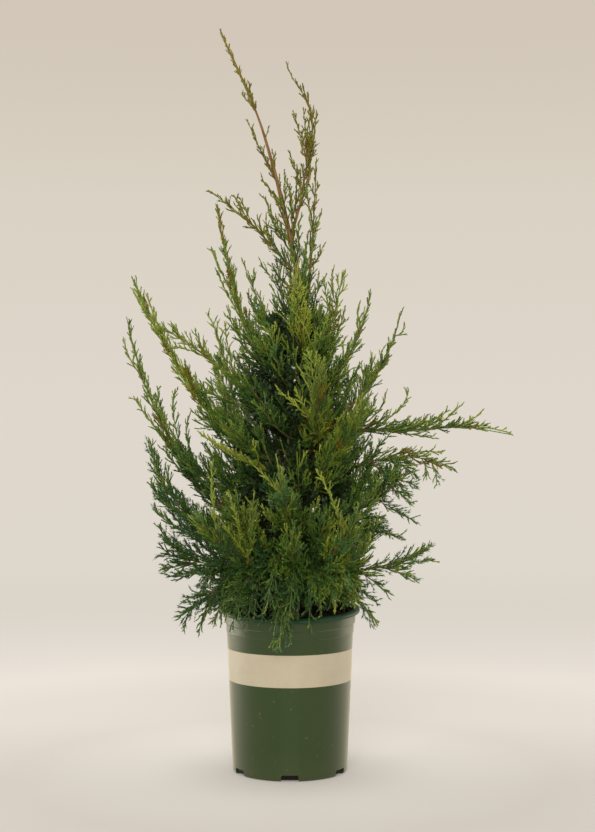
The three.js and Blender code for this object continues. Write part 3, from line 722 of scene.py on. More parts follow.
# Smaller shoots that show: what carries each, its place there (a height on the trunk, else a share), knee,
# tip, the reach of its own side shoots and its tone.
ownShoots = [
    ("leading_shoot", 0.03, (-60, -2, 998), (-73, -4, 1014), 6, 0.56),
    ("leading_shoot", 0.03, (-55, 4, 1003), (-61, 5, 1024), 5, 0.56),
    ("trunk", 945, (-36, -3, 950), (-33, -4, 957), 5, 0.5),
    ("trunk", 896, (-25, -6, 908), (-25, -7, 924), 8, 0.5),
    ("trunk", 868, (-17, -4, 876), (-15, -5, 887), 5, 0.5),
    ("trunk", 828, (-17, -8, 855), (-43, -10, 884), 12, 0.45),
    ("trunk", 785, (-22, -10, 815), (-40, -12, 859), 16, 0.4),
    ("trunk", 815, (-16, 6, 840), (-22, 8, 862), 11, 0.45),
    ("trunk", 770, (-16, 12, 800), (-30, 16, 836), 18, 0.4),
    ("trunk", 752, (12, -14, 785), (14, -18, 822), 18, 0.4),
    ("trunk", 690, (-18, 24, 725), (-45, 28, 762), 16, 0.42),
    ("trunk", 705, (-14, 18, 735), (-29, 22, 758), 14, 0.42),
    ("second_leader", 0.42, (16, -14, 945), (6, -16, 982), 15, 0.48),
    ("second_leader", 0.44, (24, -5, 955), (20, -4, 991), 7, 0.45),
    ("second_leader", 0.46, (31, -10, 950), (28, -10, 972), 8, 0.45),
    ("second_leader", 0.24, (9, -12, 895), (-1, -12, 924), 12, 0.42),
    ("second_leader", 0.08, (2, -8, 850), (-5, -8, 885), 13, 0.42),
    ("second_leader", 0.46, (39, -6, 960), (39, -6, 983), 8, 0.48),
    ("second_leader", 0.3, (34, -2, 905), (30, 0, 935), 10, 0.42),
    ("third_leader", 0.62, (30, 10, 850), (22, 8, 870), 10, 0.42),
    ("third_leader", 0.58, (42, 16, 822), (47, 16, 835), 6, 0.5),
    ("third_leader", 0.4, (42, 16, 765), (50, 18, 787), 8, 0.5),
    ("third_leader", 0.42, (38, 8, 760), (45, 6, 774), 7, 0.5),
    ("third_leader", 0.4, (25, 6, 758), (20, 2, 778), 9, 0.42),
    ("top_left_arch", 0.62, (-74, -18, 842), (-84, -18, 860), 10, 0.45),
    ("top_left_arch", 0.58, (-67, -10, 840), (-75, -9, 856), 8, 0.45),
    ("top_left_arch", 0.45, (-44, -10, 812), (-48, -10, 826), 8, 0.42),
    ("top_left_arch", 0.36, (-34, -14, 806), (-36, -16, 824), 10, 0.42),
    ("top_left", 0.62, (-108, 8, 755), (-119, 8, 781), 10, 0.45),
    ("top_left", 0.72, (-97, 14, 775), (-98, 15, 797), 9, 0.48),
    ("top_left", 0.55, (-101, 3, 722), (-108, 2, 744), 9, 0.42),
    ("top_left", 0.6, (-86, 16, 728), (-87, 18, 748), 9, 0.42),
    ("top_left_small", 0.8, (-54, 34, 735), (-56, 34, 752), 9, 0.4),
    ("top_left_small", 0.35, (-55, 24, 680), (-64, 20, 715), 18, 0.36),
    ("top_left_small", 0.45, (-48, 20, 685), (-52, 16, 708), 14, 0.36),
    ("top_right_small", 0.75, (60, -24, 715), (63, -24, 748), 12, 0.42),
    ("top_right_small", 0.66, (50, -20, 705), (52, -20, 738), 12, 0.4),
    ("top_right", 0.72, (101, 17, 676), (104, 17, 699), 10, 0.45),
    ("left_tall", 0.82, (-222, -18, 690), (-232, -16, 714), 9, 0.66),
    ("left_tall", 0.74, (-205, -24, 684), (-211, -26, 706), 10, 0.62),
    ("left_arch", 0.85, (-164, -50, 651), (-170, -50, 664), 10, 0.48),
    ("left_arch", 0.7, (-132, -46, 636), (-140, -46, 656), 13, 0.45),
    ("left_arch", 0.62, (-140, -56, 628), (-170, -60, 632), 10, 0.5),
    ("left_arch", 0.55, (-103, -34, 650), (-122, -30, 681), 16, 0.45),
    ("left_arch", 0.5, (-95, -30, 640), (-96, -28, 665), 13, 0.42),
    ("left_outer", 0.82, (-247, 12, 620), (-250, 14, 640), 8, 0.42),
    ("left_outer", 0.78, (-224, 20, 588), (-224, 18, 606), 10, 0.4),
    ("left_outer", 0.62, (-202, 24, 550), (-200, 24, 572), 12, 0.4),
    ("left_outer", 0.5, (-186, 26, 530), (-174, 28, 568), 16, 0.36),
    ("left_outer", 0.52, (-215, 6, 525), (-235, 8, 558), 13, 0.4),
    ("left_outer", 0.42, (-165, 32, 490), (-155, 34, 530), 14, 0.36),
    ("right_tall", 0.6, (147, -14, 612), (148, -14, 641), 12, 0.4),
    ("right_tall", 0.52, (136, -10, 600), (137, -10, 628), 12, 0.38),
    ("right_tall", 0.42, (120, -16, 590), (122, -16, 617), 13, 0.38),
    ("right_tall", 0.85, (168, -10, 648), (171, -8, 666), 7, 0.45),
    ("right_long", 0.44, (179, 0, 540), (177, 0, 569), 6, 0.5),
    ("right_long", 0.34, (144, 2, 535), (143, 2, 562), 8, 0.45),
    ("right_long", 0.28, (128, 8, 530), (127, 8, 557), 9, 0.42),
    ("right_long", 0.6, (220, -4, 524), (236, -4, 538), 9, 0.4),
    ("right_long", 0.68, (238, -6, 526), (254, -6, 545), 8, 0.46),
    ("right_long", 0.76, (272, -6, 524), (286, -6, 534), 4, 0.6),
    ("right_long", 0.78, (300, -3, 516), (332, -5, 503), 3, 0.62),
    ("right_long", 0.5, (200, 4, 500), (214, 4, 497), 10, 0.36),
    ("right_long", 0.3, (110, 10, 516), (126, 12, 540), 16, 0.38),
    ("right_drooping", 0.3, (105, 18, 480), (128, 20, 512), 22, 0.38),
    ("right_drooping", 0.4, (132, 14, 486), (150, 12, 500), 16, 0.38),
    ("right_drooping", 0.35, (118, 6, 430), (140, 2, 408), 22, 0.36),
    ("right_drooping", 0.5, (150, 26, 440), (160, 30, 412), 20, 0.36),
    ("low_right_upper", 0.55, (128, 20, 420), (142, 24, 452), 22, 0.36),
    ("low_right_upper", 0.7, (145, -4, 430), (158, -8, 458), 18, 0.38),
    ("top_right_small", 0.3, (72, -10, 640), (82, -14, 690), 26, 0.5),
    ("trunk", 600, (52, 10, 635), (68, 14, 690), 30, 0.46),
    ("trunk", 680, (26, -10, 715), (36, -14, 752), 18, 0.46),
    ("trunk", 540, (-50, 10, 570), (-85, 14, 620), 40, 0.34),
    ("trunk", 520, (-62, 34, 555), (-108, 40, 606), 40, 0.34),
    ("left_tall", 0.2, (-105, -10, 490), (-125, -14, 530), 24, 0.4),
    ("left_outer", 0.32, (-150, 8, 430), (-168, 6, 470), 24, 0.36),
    ("left_outer", 0.4, (-172, -6, 450), (-190, -8, 482), 20, 0.38),
    ("right_drooping", 0.62, (205, 22, 482), (230, 20, 473), 9, 0.45),
    ("right_drooping", 0.8, (225, 26, 450), (222, 26, 424), 8, 0.5),
    ("right_drooping", 0.75, (210, 28, 450), (206, 28, 438), 8, 0.45),
    ("right_drooping", 0.5, (176, 14, 456), (190, 12, 438), 13, 0.4),
    ("right_drooping", 0.4, (160, 12, 432), (178, 10, 412), 14, 0.38),
    ("low_right_upper", 0.8, (170, 6, 412), (182, 4, 399), 13, 0.4),
    ("low_right_upper", 0.65, (165, 2, 385), (188, 0, 371), 12, 0.38),
    ("low_right_upper", 0.5, (130, -6, 366), (150, -10, 352), 14, 0.36),
    ("low_right", 0.6, (180, -4, 318), (201, -6, 330), 11, 0.42),
    ("low_right", 0.6, (172, 6, 294), (191, 6, 282), 11, 0.4),
    ("low_right", 0.45, (130, 10, 280), (146, 10, 264), 13, 0.36),
    ("low_left_upright", 0.6, (-196, -36, 400), (-206, -36, 434), 11, 0.4),
    ("low_left", 0.75, (-185, 16, 336), (-198, 14, 364), 12, 0.36),
    ("low_left", 0.7, (-172, 20, 302), (-192, 20, 298), 13, 0.36),
    ("low_left", 0.6, (-150, 24, 292), (-172, 24, 281), 13, 0.36),
    ("low_left_hanging", 0.55, (-132, -40, 272), (-154, -40, 258), 12, 0.36),
    ("low_left_hanging", 0.7, (-148, -42, 248), (-164, -40, 232), 12, 0.36),
    ("low_left_hanging", 0.6, (-128, -56, 246), (-133, -60, 212), 11, 0.36),
    ("low_left", 0.5, (-160, 10, 330), (-190, 6, 345), 14, 0.36),
    ("low_left", 0.45, (-150, 30, 350), (-184, 30, 386), 14, 0.36),
    ("low_left", 0.4, (-140, -6, 296), (-184, -10, 290), 13, 0.36),
    ("low_left_upright", 0.35, (-186, -20, 360), (-202, -20, 396), 12, 0.38),
    ("low_left_upright", 0.75, (-200, -44, 440), (-201, -44, 478), 10, 0.42),
    ("low_right_upper", 0.9, (178, 4, 430), (190, 2, 424), 10, 0.42),
    ("low_right_upper", 0.4, (140, 0, 352), (168, -4, 348), 13, 0.38),
    ("low_right", 0.75, (196, 2, 322), (212, 2, 335), 9, 0.44),
    ("low_right", 0.3, (110, 20, 268), (132, 22, 246), 13, 0.36),
    ("low_back_left", 0.35, (-75, 128, 290), (-88, 132, 228), 22, 0.36),
    ("low_back_left", 0.3, (-45, 138, 290), (-52, 142, 218), 22, 0.36),
    ("low_back_left", 0.25, (-15, 142, 290), (-18, 146, 230), 22, 0.36),
    ("low_back_left", 0.28, (-60, 134, 285), (-70, 138, 236), 22, 0.36),
    ("low_back_left", 0.28, (-30, 140, 285), (-35, 144, 234), 22, 0.36),
    ("low_back_left", 0.2, (0, 142, 285), (0, 147, 220), 22, 0.36),
    ("low_back_right", 0.28, (33, 140, 285), (36, 144, 236), 22, 0.36),
    ("low_back_right", 0.3, (63, 132, 285), (71, 136, 222), 22, 0.36),
    ("low_back_right", 0.25, (18, 142, 290), (18, 146, 232), 22, 0.36),
    ("low_back_right", 0.3, (48, 138, 290), (54, 142, 226), 22, 0.36),
    ("low_back_right", 0.35, (78, 126, 290), (88, 130, 234), 22, 0.36),
    ("second_leader", 0.03, (4, -10, 832), (0, -12, 872), 12, 0.42),
    ("second_leader", 0.1, (20, -8, 860), (14, -10, 897), 12, 0.42),
    ("second_leader", 0.14, (27, 2, 872), (30, 2, 908), 12, 0.42),
    ("second_leader", 0.1, (8, 4, 868), (12, 6, 902), 12, 0.4),
    ("trunk", 842, (-5, -8, 862), (-9, -9, 893), 10, 0.42),
    ("trunk", 802, (-7, -10, 828), (-14, -12, 860), 12, 0.4),
    ("trunk", 770, (6, -12, 800), (1, -14, 836), 14, 0.4),
    ("trunk", 745, (2, -16, 775), (-8, -20, 808), 16, 0.4),
    ("trunk", 728, (24, -10, 765), (27, -14, 802), 16, 0.42),
    ("front_left", 0.45, (-42, -125, 470), (-52, -150, 491), 8, 0.72),
    ("low_front_left", 0.55, (-66, -158, 376), (-85, -186, 424), 10, 0.66),
    ("low_front_left", 0.4, (-60, -140, 335), (-92, -180, 378), 10, 0.62),
    ("low_front_left", 0.75, (-112, -152, 410), (-109, -152, 466), 11, 0.62),
    ("low_front_middle", 0.7, (-12, -182, 445), (-19, -190, 478), 10, 0.68),
    ("low_front_right", 0.75, (66, -186, 410), (37, -192, 455), 11, 0.72),
    ("top_front", 0.12, (46, -80, 640), (0, -86, 688), 0, 0.7),
    ("top_front", 0.3, (-4, -84, 684), (-28, -84, 682), 0, 0.7),
    ("front_middle", 0.5, (10, -148, 545), (-18, -152, 568), 6, 0.76),
    ("front_middle", 0.5, (18, -145, 545), (8, -150, 567), 5, 0.72),
    ("front_middle", 0.7, (24, -140, 575), (14, -132, 598), 6, 0.66),
    ("low_front_left", 0.5, (-48, -138, 375), (-52, -158, 412), 30, 0.36),
    ("low_front_middle", 0.4, (-24, -130, 370), (-36, -150, 400), 30, 0.36),
    ("low_front_middle", 0.3, (30, -110, 375), (40, -130, 410), 28, 0.42),
    ("top_left", 0.45, (-88, -2, 650), (-92, -6, 690), 22, 0.42),
    ("top_left", 0.38, (-80, 14, 630), (-76, 18, 668), 22, 0.4),
    ("left_arch", 0.3, (-70, -20, 560), (-84, -20, 590), 26, 0.36),
    ("left_arch", 0.2, (-50, -10, 530), (-66, -8, 556), 30, 0.34),
    ("trunk", 455, (5, 25, 475), (-8, 40, 500), 34, 0.3),
    ("low_front_left", 0.35, (-76, -100, 285), (-83, -90, 221), 34, 0.18),
    ("low_front_left", 0.3, (-56, -112, 290), (-61, -107, 223), 34, 0.18),
    ("low_front_middle", 0.3, (-36, -120, 295), (-40, -114, 230), 30, 0.18),
    ("low_front_right", 0.25, (26, -122, 295), (29, -117, 227), 28, 0.2),
    ("low_front_right", 0.25, (42, -118, 300), (46, -112, 243), 26, 0.34),
    ("low_front_right", 0.35, (60, -112, 300), (66, -104, 248), 26, 0.34),
    ("low_left_hanging", 0.3, (-96, -70, 285), (-101, -66, 228), 30, 0.3),
    ("low_front_left", 0.3, (-86, -88, 290), (-93, -80, 236), 30, 0.3),
    ("low_right_upper", 0.35, (92, -6, 400), (112, -4, 460), 34, 0.36),
    ("low_right_upper", 0.45, (105, 20, 410), (128, 26, 470), 34, 0.36),
    ("front_right", 0.3, (84, -40, 450), (108, -30, 492), 34, 0.38),
    ("trunk", 430, (70, 10, 440), (104, 14, 478), 40, 0.34),
    ("low_front_middle", 0.5, (-5, -125, 420), (-58, -128, 466), 14, 0.64),
    ("trunk", 264, (-22, 40, 270), (-42, 86, 258), 30, 0.34),
    ("trunk", 266, (12, 42, 272), (22, 92, 258), 30, 0.34),
    ("trunk", 268, (-36, 16, 274), (-82, 50, 260), 30, 0.34),
    ("trunk", 470, (-10, 30, 490), (-28, 50, 515), 34, 0.3),
    ("left_tall", 0.15, (-80, 20, 450), (-100, 30, 480), 34, 0.34),
    ("low_front_middle", 0.3, (-20, -122, 292), (-22, -116, 232), 30, 0.14),
    ("low_front_middle", 0.3, (-3, -124, 290), (-6, -118, 226), 28, 0.16),
    ("low_front_right", 0.25, (10, -122, 292), (12, -117, 238), 26, 0.16),
    ("low_front_left", 0.32, (-48, -116, 290), (-51, -110, 236), 30, 0.14),
    ("low_front_hanging", 0.6, (-6, -136, 262), (3, -128, 205), 20, 0.24),
    ("low_front_hanging", 0.6, (-20, -138, 262), (-24, -132, 196), 20, 0.3),
    ("low_front_right", 0.2, (36, -84, 290), (44, -68, 248), 36, 0.38),
    ("low_front_right", 0.3, (56, -84, 290), (64, -60, 250), 36, 0.4),
    ("low_right_hanging", 0.2, (70, -60, 280), (80, -40, 252), 34, 0.38),
    ("low_front_right", 0.15, (22, -84, 290), (24, -74, 244), 36, 0.28),
    ("low_front_right", 0.2, (44, -66, 285), (54, -46, 248), 36, 0.32),
]

smallShoots = {"gap": 6, "leave": 26, "wood": (0.9, 0.2)}
lowShoots = {"below": 460, "outside": 120, "more": 2.0, "young": 0.5, "gap": 5.0}

# Inner stems that fill the body of the crown between the branches, and a skirt of soft shoots that droops
# over the pot's rim. outline is the crown's half width at each height, without the plumes that stand out.
crown = {"outline": [(230, 140), (300, 172), (400, 182), (500, 156), (600, 116), (700, 62), (800, 28),
                     (860, 10)],
         "middle": [(540, -14), (700, 14)], "narrowest": 20, "shade": 0.5, "inside": 0.52, "insideTop": 690,
         "paintedLightRise": 0.24, "paintedLightFrom": 0.8, "topTone": -0.06, "topSpan": (620, 300), "topBronze": 1.0,
         "bronzeSpan": (690, 200)}
leadingShoot = {"lowest": 982, "every": 6, "reach": 11, "gap": 4.5, "leave": 13, "tone": 0.5,
                "wood": (1.7, 0.4), "cord": (2.0, 1.4), "bronze": 0.9}
inner = {"count": 88, "lowest": 262, "highest": 660, "rise": (30, 130), "fullness": (0.6, 0.98),
         "kneeOut": 0.62, "kneeUp": 0.22, "widestAt": 400, "reach": 74, "gap": 6.0, "leave": 32, "lift": 0.35,
         "tone": 0.4, "start": 0.2, "young": 0.06, "wood": (1.6, 0.25), "seed": 21}
core = {"lowest": 240, "highest": 740, "reach": 74, "gap": 3.4, "leave": 66, "lift": 0.2, "tone": 0.3,
        "wood": None}
skirt = {"count": 48, "lowest": 262, "highest": 345, "out": (112, 158), "foot": (238, 280), "gapAt": -48,
         "gapHalf": 26, "gapLift": 30, "behind": 0.35, "backDrop": 34, "sides": 0.8, "kneeOut": 0.8,
         "kneeUp": 30, "reach": 52, "gap": 5.5, "leave": 32, "tone": 0.38, "start": 0.16, "young": 0.35,
         "lift": -0.12, "wood": (1.3, 0.2), "seed": 22}
stemPoints = 25

# Hollows (centre, half sizes) where the front opens and the dark inside shows
hollows = [((-14, -120, 478), (34, 75, 36)), ((-58, -80, 606), (26, 45, 40))]

# Painted light and painted shade: places (centre, half sizes, change of tone) whose shoots are dealt lighter
# or darker shades than the rest
paintedLightAndShade = [((-32, -70, 552), (46, 110, 66), -0.09), ((52, -60, 620), (40, 110, 90), 0.06),
         ((-120, -40, 450), (52, 120, 95), -0.08), ((105, -20, 470), (35, 100, 60), -0.05),
         ((-42, -120, 375), (28, 80, 60), 0.14), ((30, -120, 305), (26, 80, 34), -0.08),
         ((-6, -50, 680), (40, 90, 50), 0.12), ((40, -110, 455), (44, 90, 70), 0.12),
         ((74, -80, 308), (50, 120, 60), 0.13), ((-165, -20, 400), (60, 120, 110), -0.12),
         ((-8, -80, 617), (32, 90, 62), 0.1), ((-140, -20, 300), (60, 130, 80), -0.16),
         ((-30, -112, 252), (90, 60, 40), -0.12)]


# Growing: side shoots stand round what carries them at the golden angle and get shorter towards its tip

goldenAngle = math.radians(137.5)
growing = {"spacing": (0.15, 0.85), "sideways": (0.31, 0.87, 0.22), "turn": (0, 6.28), "turnVary": 0.35}
shoots = {"seed": 11, "end": 0.97, "vary": 0.28, "points": 6, "forward": 0.35, "shortening": 0.8,
          "youngSpread": 1.25, "linePoints": 17, "leafyFrom": 5, "stemTone": 0.1, "toneVary": 0.07,
          "footTone": -0.05, "tipTone": 0.07, "stalk": (0.9, 0.7), "footCord": (1.0, 0.8),
          "tipCord": (0.8, 0.5)}
branchlets = {"gap": 6.6, "start": 0.1, "end": 0.96, "leave": 21, "vary": 0.35, "points": 3, "forward": 0.4,
              "share": 0.5, "shortest": 7, "longest": 44, "lift": 0.06,
              "footTone": -0.12, "toneRise": 0.26, "toneVary": 0.07, "cord": (0.95, 0.5)}
spurs = {"gap": 6.0, "start": 0.12, "end": 0.92, "leave": 24, "vary": 0.35, "points": 2, "forward": 0.3,
         "share": 0.42, "shortest": 5, "longest": 14, "lift": 0.03,
         "footTone": -0.04, "toneRise": 0.14, "toneVary": 0.05, "cord": (0.85, 0.4)}


def clearOfPot(points, width=2.0):
    reach = np.hypot(points[..., 0], points[..., 1])
    z = points[..., 2]
    inside = insideRadius(pot["height"]) - width
    clear = np.where(reach < inside, z > soil["level"] + width,
                     np.where(reach < pot["lipRadius"] + width, z > pot["height"] + width, True))
    return clear.all(-1)


lowest, highest = (np.array(corner) / mm for corner in cadBox)


def inReach(points, spare=4.0):
    return ((points > lowest - spare) & (points < highest + spare)).all((-1, -2))


def within(points, centre, radii):
    return (((points - centre) / radii) ** 2).sum(-1) < 1


def inHollow(lines):
    middles = lines[:, lines.shape[1] // 2]
    return np.any([within(middles, *hollow) for hollow in hollows], axis=0)


def paintedLightAndShadeAt(points):
    return sum(change * within(points, centre, radii) for centre, radii, change in paintedLightAndShade)


def placeOn(lines, share):  # points and directions at a share of each line
    last = lines.shape[1] - 1
    at = np.clip(share, 0, 1) * last
    i = np.minimum(at.astype(int), last - 1)
    row = np.arange(len(lines))
    here, after = lines[row, i], lines[row, i + 1]
    return here + (after - here) * (at - i)[:, None], unit(after - here)


def reachAt(rule, lengths, share):  # shorter towards the tip, and on a shoot also no longer than suits it
    if "longest" in rule:
        return np.minimum(rule["longest"], rule["share"] * lengths * (1 - share)) + rule["shortest"]
    return rule["reach"] * (1 - rule["shortening"] * share)


def growOn(lines, rule, random):
    lengths = lengthsOf(lines)
    span = rule["end"] - rule["start"]
    counts = np.maximum(1, np.rint(lengths * span / rule["gap"])).astype(int)
    owner = np.repeat(np.arange(len(lines)), counts)
    order = np.arange(len(owner)) - np.repeat(np.cumsum(counts) - counts, counts)
    total = len(owner)
    share = rule["start"] + span * (order + random.uniform(*growing["spacing"], total)) / counts[owner]
    base, forward = placeOn(lines[owner], share)
    across = unit(np.cross(forward, growing["sideways"]))
    turn = order * goldenAngle + random.uniform(*growing["turn"], len(lines))[owner]
    turn += random.normal(0, growing["turnVary"], total)
    side = across * np.cos(turn)[:, None] + np.cross(forward, across) * np.sin(turn)[:, None]
    leave = np.radians(np.broadcast_to(rule["leave"], len(lines)))[owner]
    angle = leave * random.uniform(1 - rule["vary"], 1 + rule["vary"], total)
    heading = forward * np.cos(angle)[:, None] + side * np.sin(angle)[:, None]
    reach = reachAt(rule, lengths[owner], share) * random.uniform(1 - rule["vary"], 1 + rule["vary"], total)
    ahead = unit(heading * (1 - rule["forward"]) + forward * rule["forward"])
    tip = base + (heading * 0.5 + ahead * 0.5) * reach[:, None]
    tip[:, 2] += rule["lift"] * reach
    grown = bent(base, base + heading * reach[:, None] * 0.5, tip, rule["points"])
    fits = clearOfPot(grown) & inReach(grown) & ~inHollow(grown)
    return grown[fits], owner[fits], share[fits]


def growFiner(lines, rule, spread, random):
    return growOn(lines, {**rule, "leave": rule["leave"] * spread}, random)


def outlineAt(height):
    return np.interp(height, *zip(*crown["outline"]))


def exposure(points):  # 0 on the axis, 1 at the outline of the crown
    width = np.maximum(outlineAt(points[..., 2]), crown["narrowest"])
    return np.clip(np.hypot(points[..., 0], points[..., 1]) / width, 0, 1.2)


def innerStems():
    random = np.random.default_rng(inner["seed"])
    stems = []
    for i in range(inner["count"]):
        base = trunkAt(inner["lowest"] + (inner["highest"] - inner["lowest"]) * (i + 0.5) / inner["count"])
        top = base[2] + random.uniform(*inner["rise"])
        width = outlineAt(top) * random.uniform(*inner["fullness"])
        out = np.array((math.cos(i * goldenAngle), math.sin(i * goldenAngle), 0))
        knee = out * width * inner["kneeOut"] + (0, 0, base[2] + inner["kneeUp"] * (top - base[2]))
        reach = inner["reach"] * (0.5 + 0.5 * width / outlineAt(inner["widestAt"]))
        tip = out * width + (np.interp(top, *zip(*crown["middle"])), 0, top)
        stems.append({**usual, **inner, "reach": reach, "line": bent(base, knee, tip, stemPoints)})
    return stems


def skirtStems():
    random = np.random.default_rng(skirt["seed"])
    stems = []
    for i in range(skirt["count"]):
        base = trunkAt(random.uniform(skirt["lowest"], skirt["highest"]))
        width, foot = random.uniform(*skirt["out"]), random.uniform(*skirt["foot"])
        away = (math.degrees(i * goldenAngle) - skirt["gapAt"] + 180) % 360 - 180
        foot += skirt["gapLift"] * (abs(away) < skirt["gapHalf"])
        out = np.array((math.cos(i * goldenAngle), math.sin(i * goldenAngle), 0))
        foot -= skirt["backDrop"] * (out[1] > skirt["behind"])
        width *= 1 + (skirt["sides"] - 1) * abs(out[0])
        knee = out * width * skirt["kneeOut"] + (0, 0, base[2] + skirt["kneeUp"])
        tip = out * width + (crown["middle"][0][1], 0, foot)
        stems.append({**usual, **skirt, "line": bent(base, knee, tip, stemPoints)})
    return stems


def allStems():
    leading = trunkLine[np.searchsorted(trunkLine[:, 2], leadingShoot["lowest"])::leadingShoot["every"]]
    carriers = {**branches, "leading_shoot": {**usual, **leadingShoot, "line": leading}}
    inside = trunkLine[(trunkLine[:, 2] > core["lowest"]) & (trunkLine[:, 2] < core["highest"])]
    stems = [*carriers.values(), {**usual, **core, "line": inside}, *innerStems(), *skirtStems()]
    for carrier, at, knee, tip, reach, tone in ownShoots:
        if carrier == "trunk":
            base = trunkAt(at)
        else:
            base = placeOn(carriers[carrier]["line"][None], np.array([at]))[0][0]
        line = bent(base, knee, tip, stemPoints)
        stems.append({**usual, **smallShoots, "reach": reach, "tone": tone, "line": line})
        if tip[2] < lowShoots["below"] and abs(tip[0]) > lowShoots["outside"]:
            stems[-1].update(reach=reach * lowShoots["more"], young=lowShoots["young"], gap=lowShoots["gap"])
    return stems


# Leaves and twigs

leaf = {"length": 4.1, "width": 1.9, "lift": 17, "gap": 3.5, "fold": 0.3, "count": 2, "seed": 3, "girth": 1.1}
needle = {"length": 6.0, "width": 1.3, "lift": 30, "gap": 5.0, "fold": 0.25, "count": 3, "seed": 4,
          "girth": 0.6}
insideLeaf = {"length": 12, "width": 6.2, "lift": 36, "gap": 5.6, "fold": 0.4, "count": 2, "seed": 6,
              "girth": 1.4}
leafShades = {"deep": rgb(53, 80, 31), "bottle": rgb(72, 105, 39), "mid": rgb(101, 130, 46),
              "olive": rgb(129, 148, 51), "fresh": rgb(149, 164, 55), "lime": rgb(164, 176, 62)}
youngShades = {"young_deep": rgb(62, 99, 50), "young_pale": rgb(96, 134, 66)}
bronzeShades = {"khaki": rgb(107, 103, 18), "bronze": rgb(131, 117, 22)}
# the dark colour dealt to every shoot deep inside the crown is painted shade
paintedShadeInsideColours = {"inside": rgb(46, 66, 30)}
twigs = {"wood": rgb(88, 70, 38), "pale": rgb(112, 92, 52), "sides": 3, "cordPaintedShade": 0.68, "spurCords": 0.95,
         "leafSizes": (0.8, 1.2), "leafTurn": 0.03, "leafRoughness": 0.55, "cordRoughness": 0.6,
         "pieceLimit": 175000}
plainKind, youngKind, bronzeKind = range(3)


def whorl(name, sizes):  # leaves folded along the midrib, spread round a twig that runs up Z
    lift = math.radians(sizes["lift"])
    points, faces = [], []
    for k in range(sizes["count"]):
        angle = 2 * math.pi * k / sizes["count"]
        out = np.array((math.cos(angle), math.sin(angle), 0))
        side = np.array((-math.sin(angle), math.cos(angle), 0))
        along = out * math.sin(lift) + np.array((0, 0, 1)) * math.cos(lift)
        back = out * math.cos(lift) - np.array((0, 0, 1)) * math.sin(lift)
        base = out * sizes["girth"] * 0.3
        wide = base + along * sizes["length"] * 0.38 - back * sizes["fold"]
        tip = base + along * sizes["length"]
        points += [base, wide + side * sizes["width"] / 2, tip, wide - side * sizes["width"] / 2]
        faces += [(4 * k, 4 * k + 1, 4 * k + 2), (4 * k, 4 * k + 2, 4 * k + 3)]
    return addObject(name, meshFrom(name, np.array(points) * mm, faces, False))


def leafTree():
    board, source = newTree("leafWhorls", Object=("Whorl",), Float=("Gap", "Turn", "Smallest", "Largest"),
                            Int=("Seed",), Material=("Finish",))
    curve = board.node("GeometryNodeMeshToCurve", None, {"Mesh": source["Geometry"]})
    steps = board.node("GeometryNodeResampleCurve", {"mode": "LENGTH"},
                       {"Curve": curve, "Length": source["Gap"]})
    tangent = board.node("GeometryNodeInputTangent")
    upright = board.node("FunctionNodeAlignRotationToVector", {"axis": "Z"}, {"Vector": tangent})
    spin = board.node("GeometryNodeInputIndex") * source["Turn"]
    twist = board.node("FunctionNodeAxisAngleToRotation", None, {"Axis": (0, 0, 1), "Angle": spin})
    rotation = board.node("FunctionNodeRotateRotation", {"rotation_space": "LOCAL"}, {0: upright, 1: twist})
    size = board.node("GeometryNodeInputNamedAttribute", {"data_type": "FLOAT"}, {"Name": "size"})
    vary = board.chance("FLOAT", source["Smallest"], source["Largest"], source["Seed"])
    ends = board.node("GeometryNodeCurveEndpointSelection", None, {"Start Size": 0, "End Size": 1})
    leaves = board.node("GeometryNodeInstanceOnPoints", None,
                        {"Points": steps, "Selection": 1 - ends, "Instance": board.pattern(source["Whorl"]),
                         "Rotation": rotation, "Scale": (size * 0.5 + 0.5) * vary})
    endTree(board, leaves, source["Finish"])
    return board.tree


def twigTree():
    board, source = newTree("twigs", Int=("Sides",), Float=("Girth",), Material=("Finish",))
    curve = board.node("GeometryNodeMeshToCurve", None, {"Mesh": source["Geometry"]})
    size = board.node("GeometryNodeInputNamedAttribute", {"data_type": "FLOAT"}, {"Name": "size"})
    ring = board.node("GeometryNodeCurvePrimitiveCircle", {"mode": "RADIUS"},
                      {"Resolution": source["Sides"], "Radius": 1.0})
    tube = board.node("GeometryNodeCurveToMesh", None,
                      {"Curve": curve, "Profile Curve": ring, "Scale": size * source["Girth"]})
    endTree(board, tube, source["Finish"])
    return board.tree


def lineObject(name, batches):  # batches of (lines, size at root, size at tip) as one object of edges
    points, edges, sizes, start = [], [], [], 0
    for lines, root, tip in batches:
        m, n = lines.shape[:2]
        index = start + np.arange(m * n).reshape(m, n)
        points.append(lines.reshape(-1, 3))
        edges.append(np.stack([index[:, :-1].ravel(), index[:, 1:].ravel()], 1))
        sizes.append(np.broadcast_to(np.linspace(root, tip, n), (m, n)).ravel())
        start += m * n
    points, edges = np.vstack(points) * mm, np.vstack(edges)
    mesh = bpy.data.meshes.new(name)
    mesh.vertices.add(len(points))
    mesh.edges.add(len(edges))
    mesh.vertices.foreach_set("co", points.ravel())
    mesh.edges.foreach_set("vertices", edges.ravel())
    mesh.attributes.new("size", "FLOAT", "POINT").data.foreach_set("value", np.concatenate(sizes))
    mesh.update()
    return addObject(name, mesh)


def deal(shades, lines, tones, kinds, root, tip):  # each shoot goes to the shade of its tone, or inside
    # painted shade: shoots that end deep inside the crown, below its top, all get the dark inside colour
    lit = (exposure(lines[:, -1]) > crown["inside"]) | (lines[:, -1, 2] > crown["insideTop"])
    shades["inside"].append((lines[~lit], root, tip))
    for kind, names in ((plainKind, leafShades), (youngKind, youngShades), (bronzeKind, bronzeShades)):
        places = np.clip((tones * len(names)).astype(int), 0, len(names) - 1)
        for i, name in enumerate(names):
            shades[name].append((lines[lit & (kinds == kind) & (places == i)], root, tip))


def rising(values, start, length):  # 0 up to start, 1 after the length
    return np.clip((values - start) / length, 0, 1)


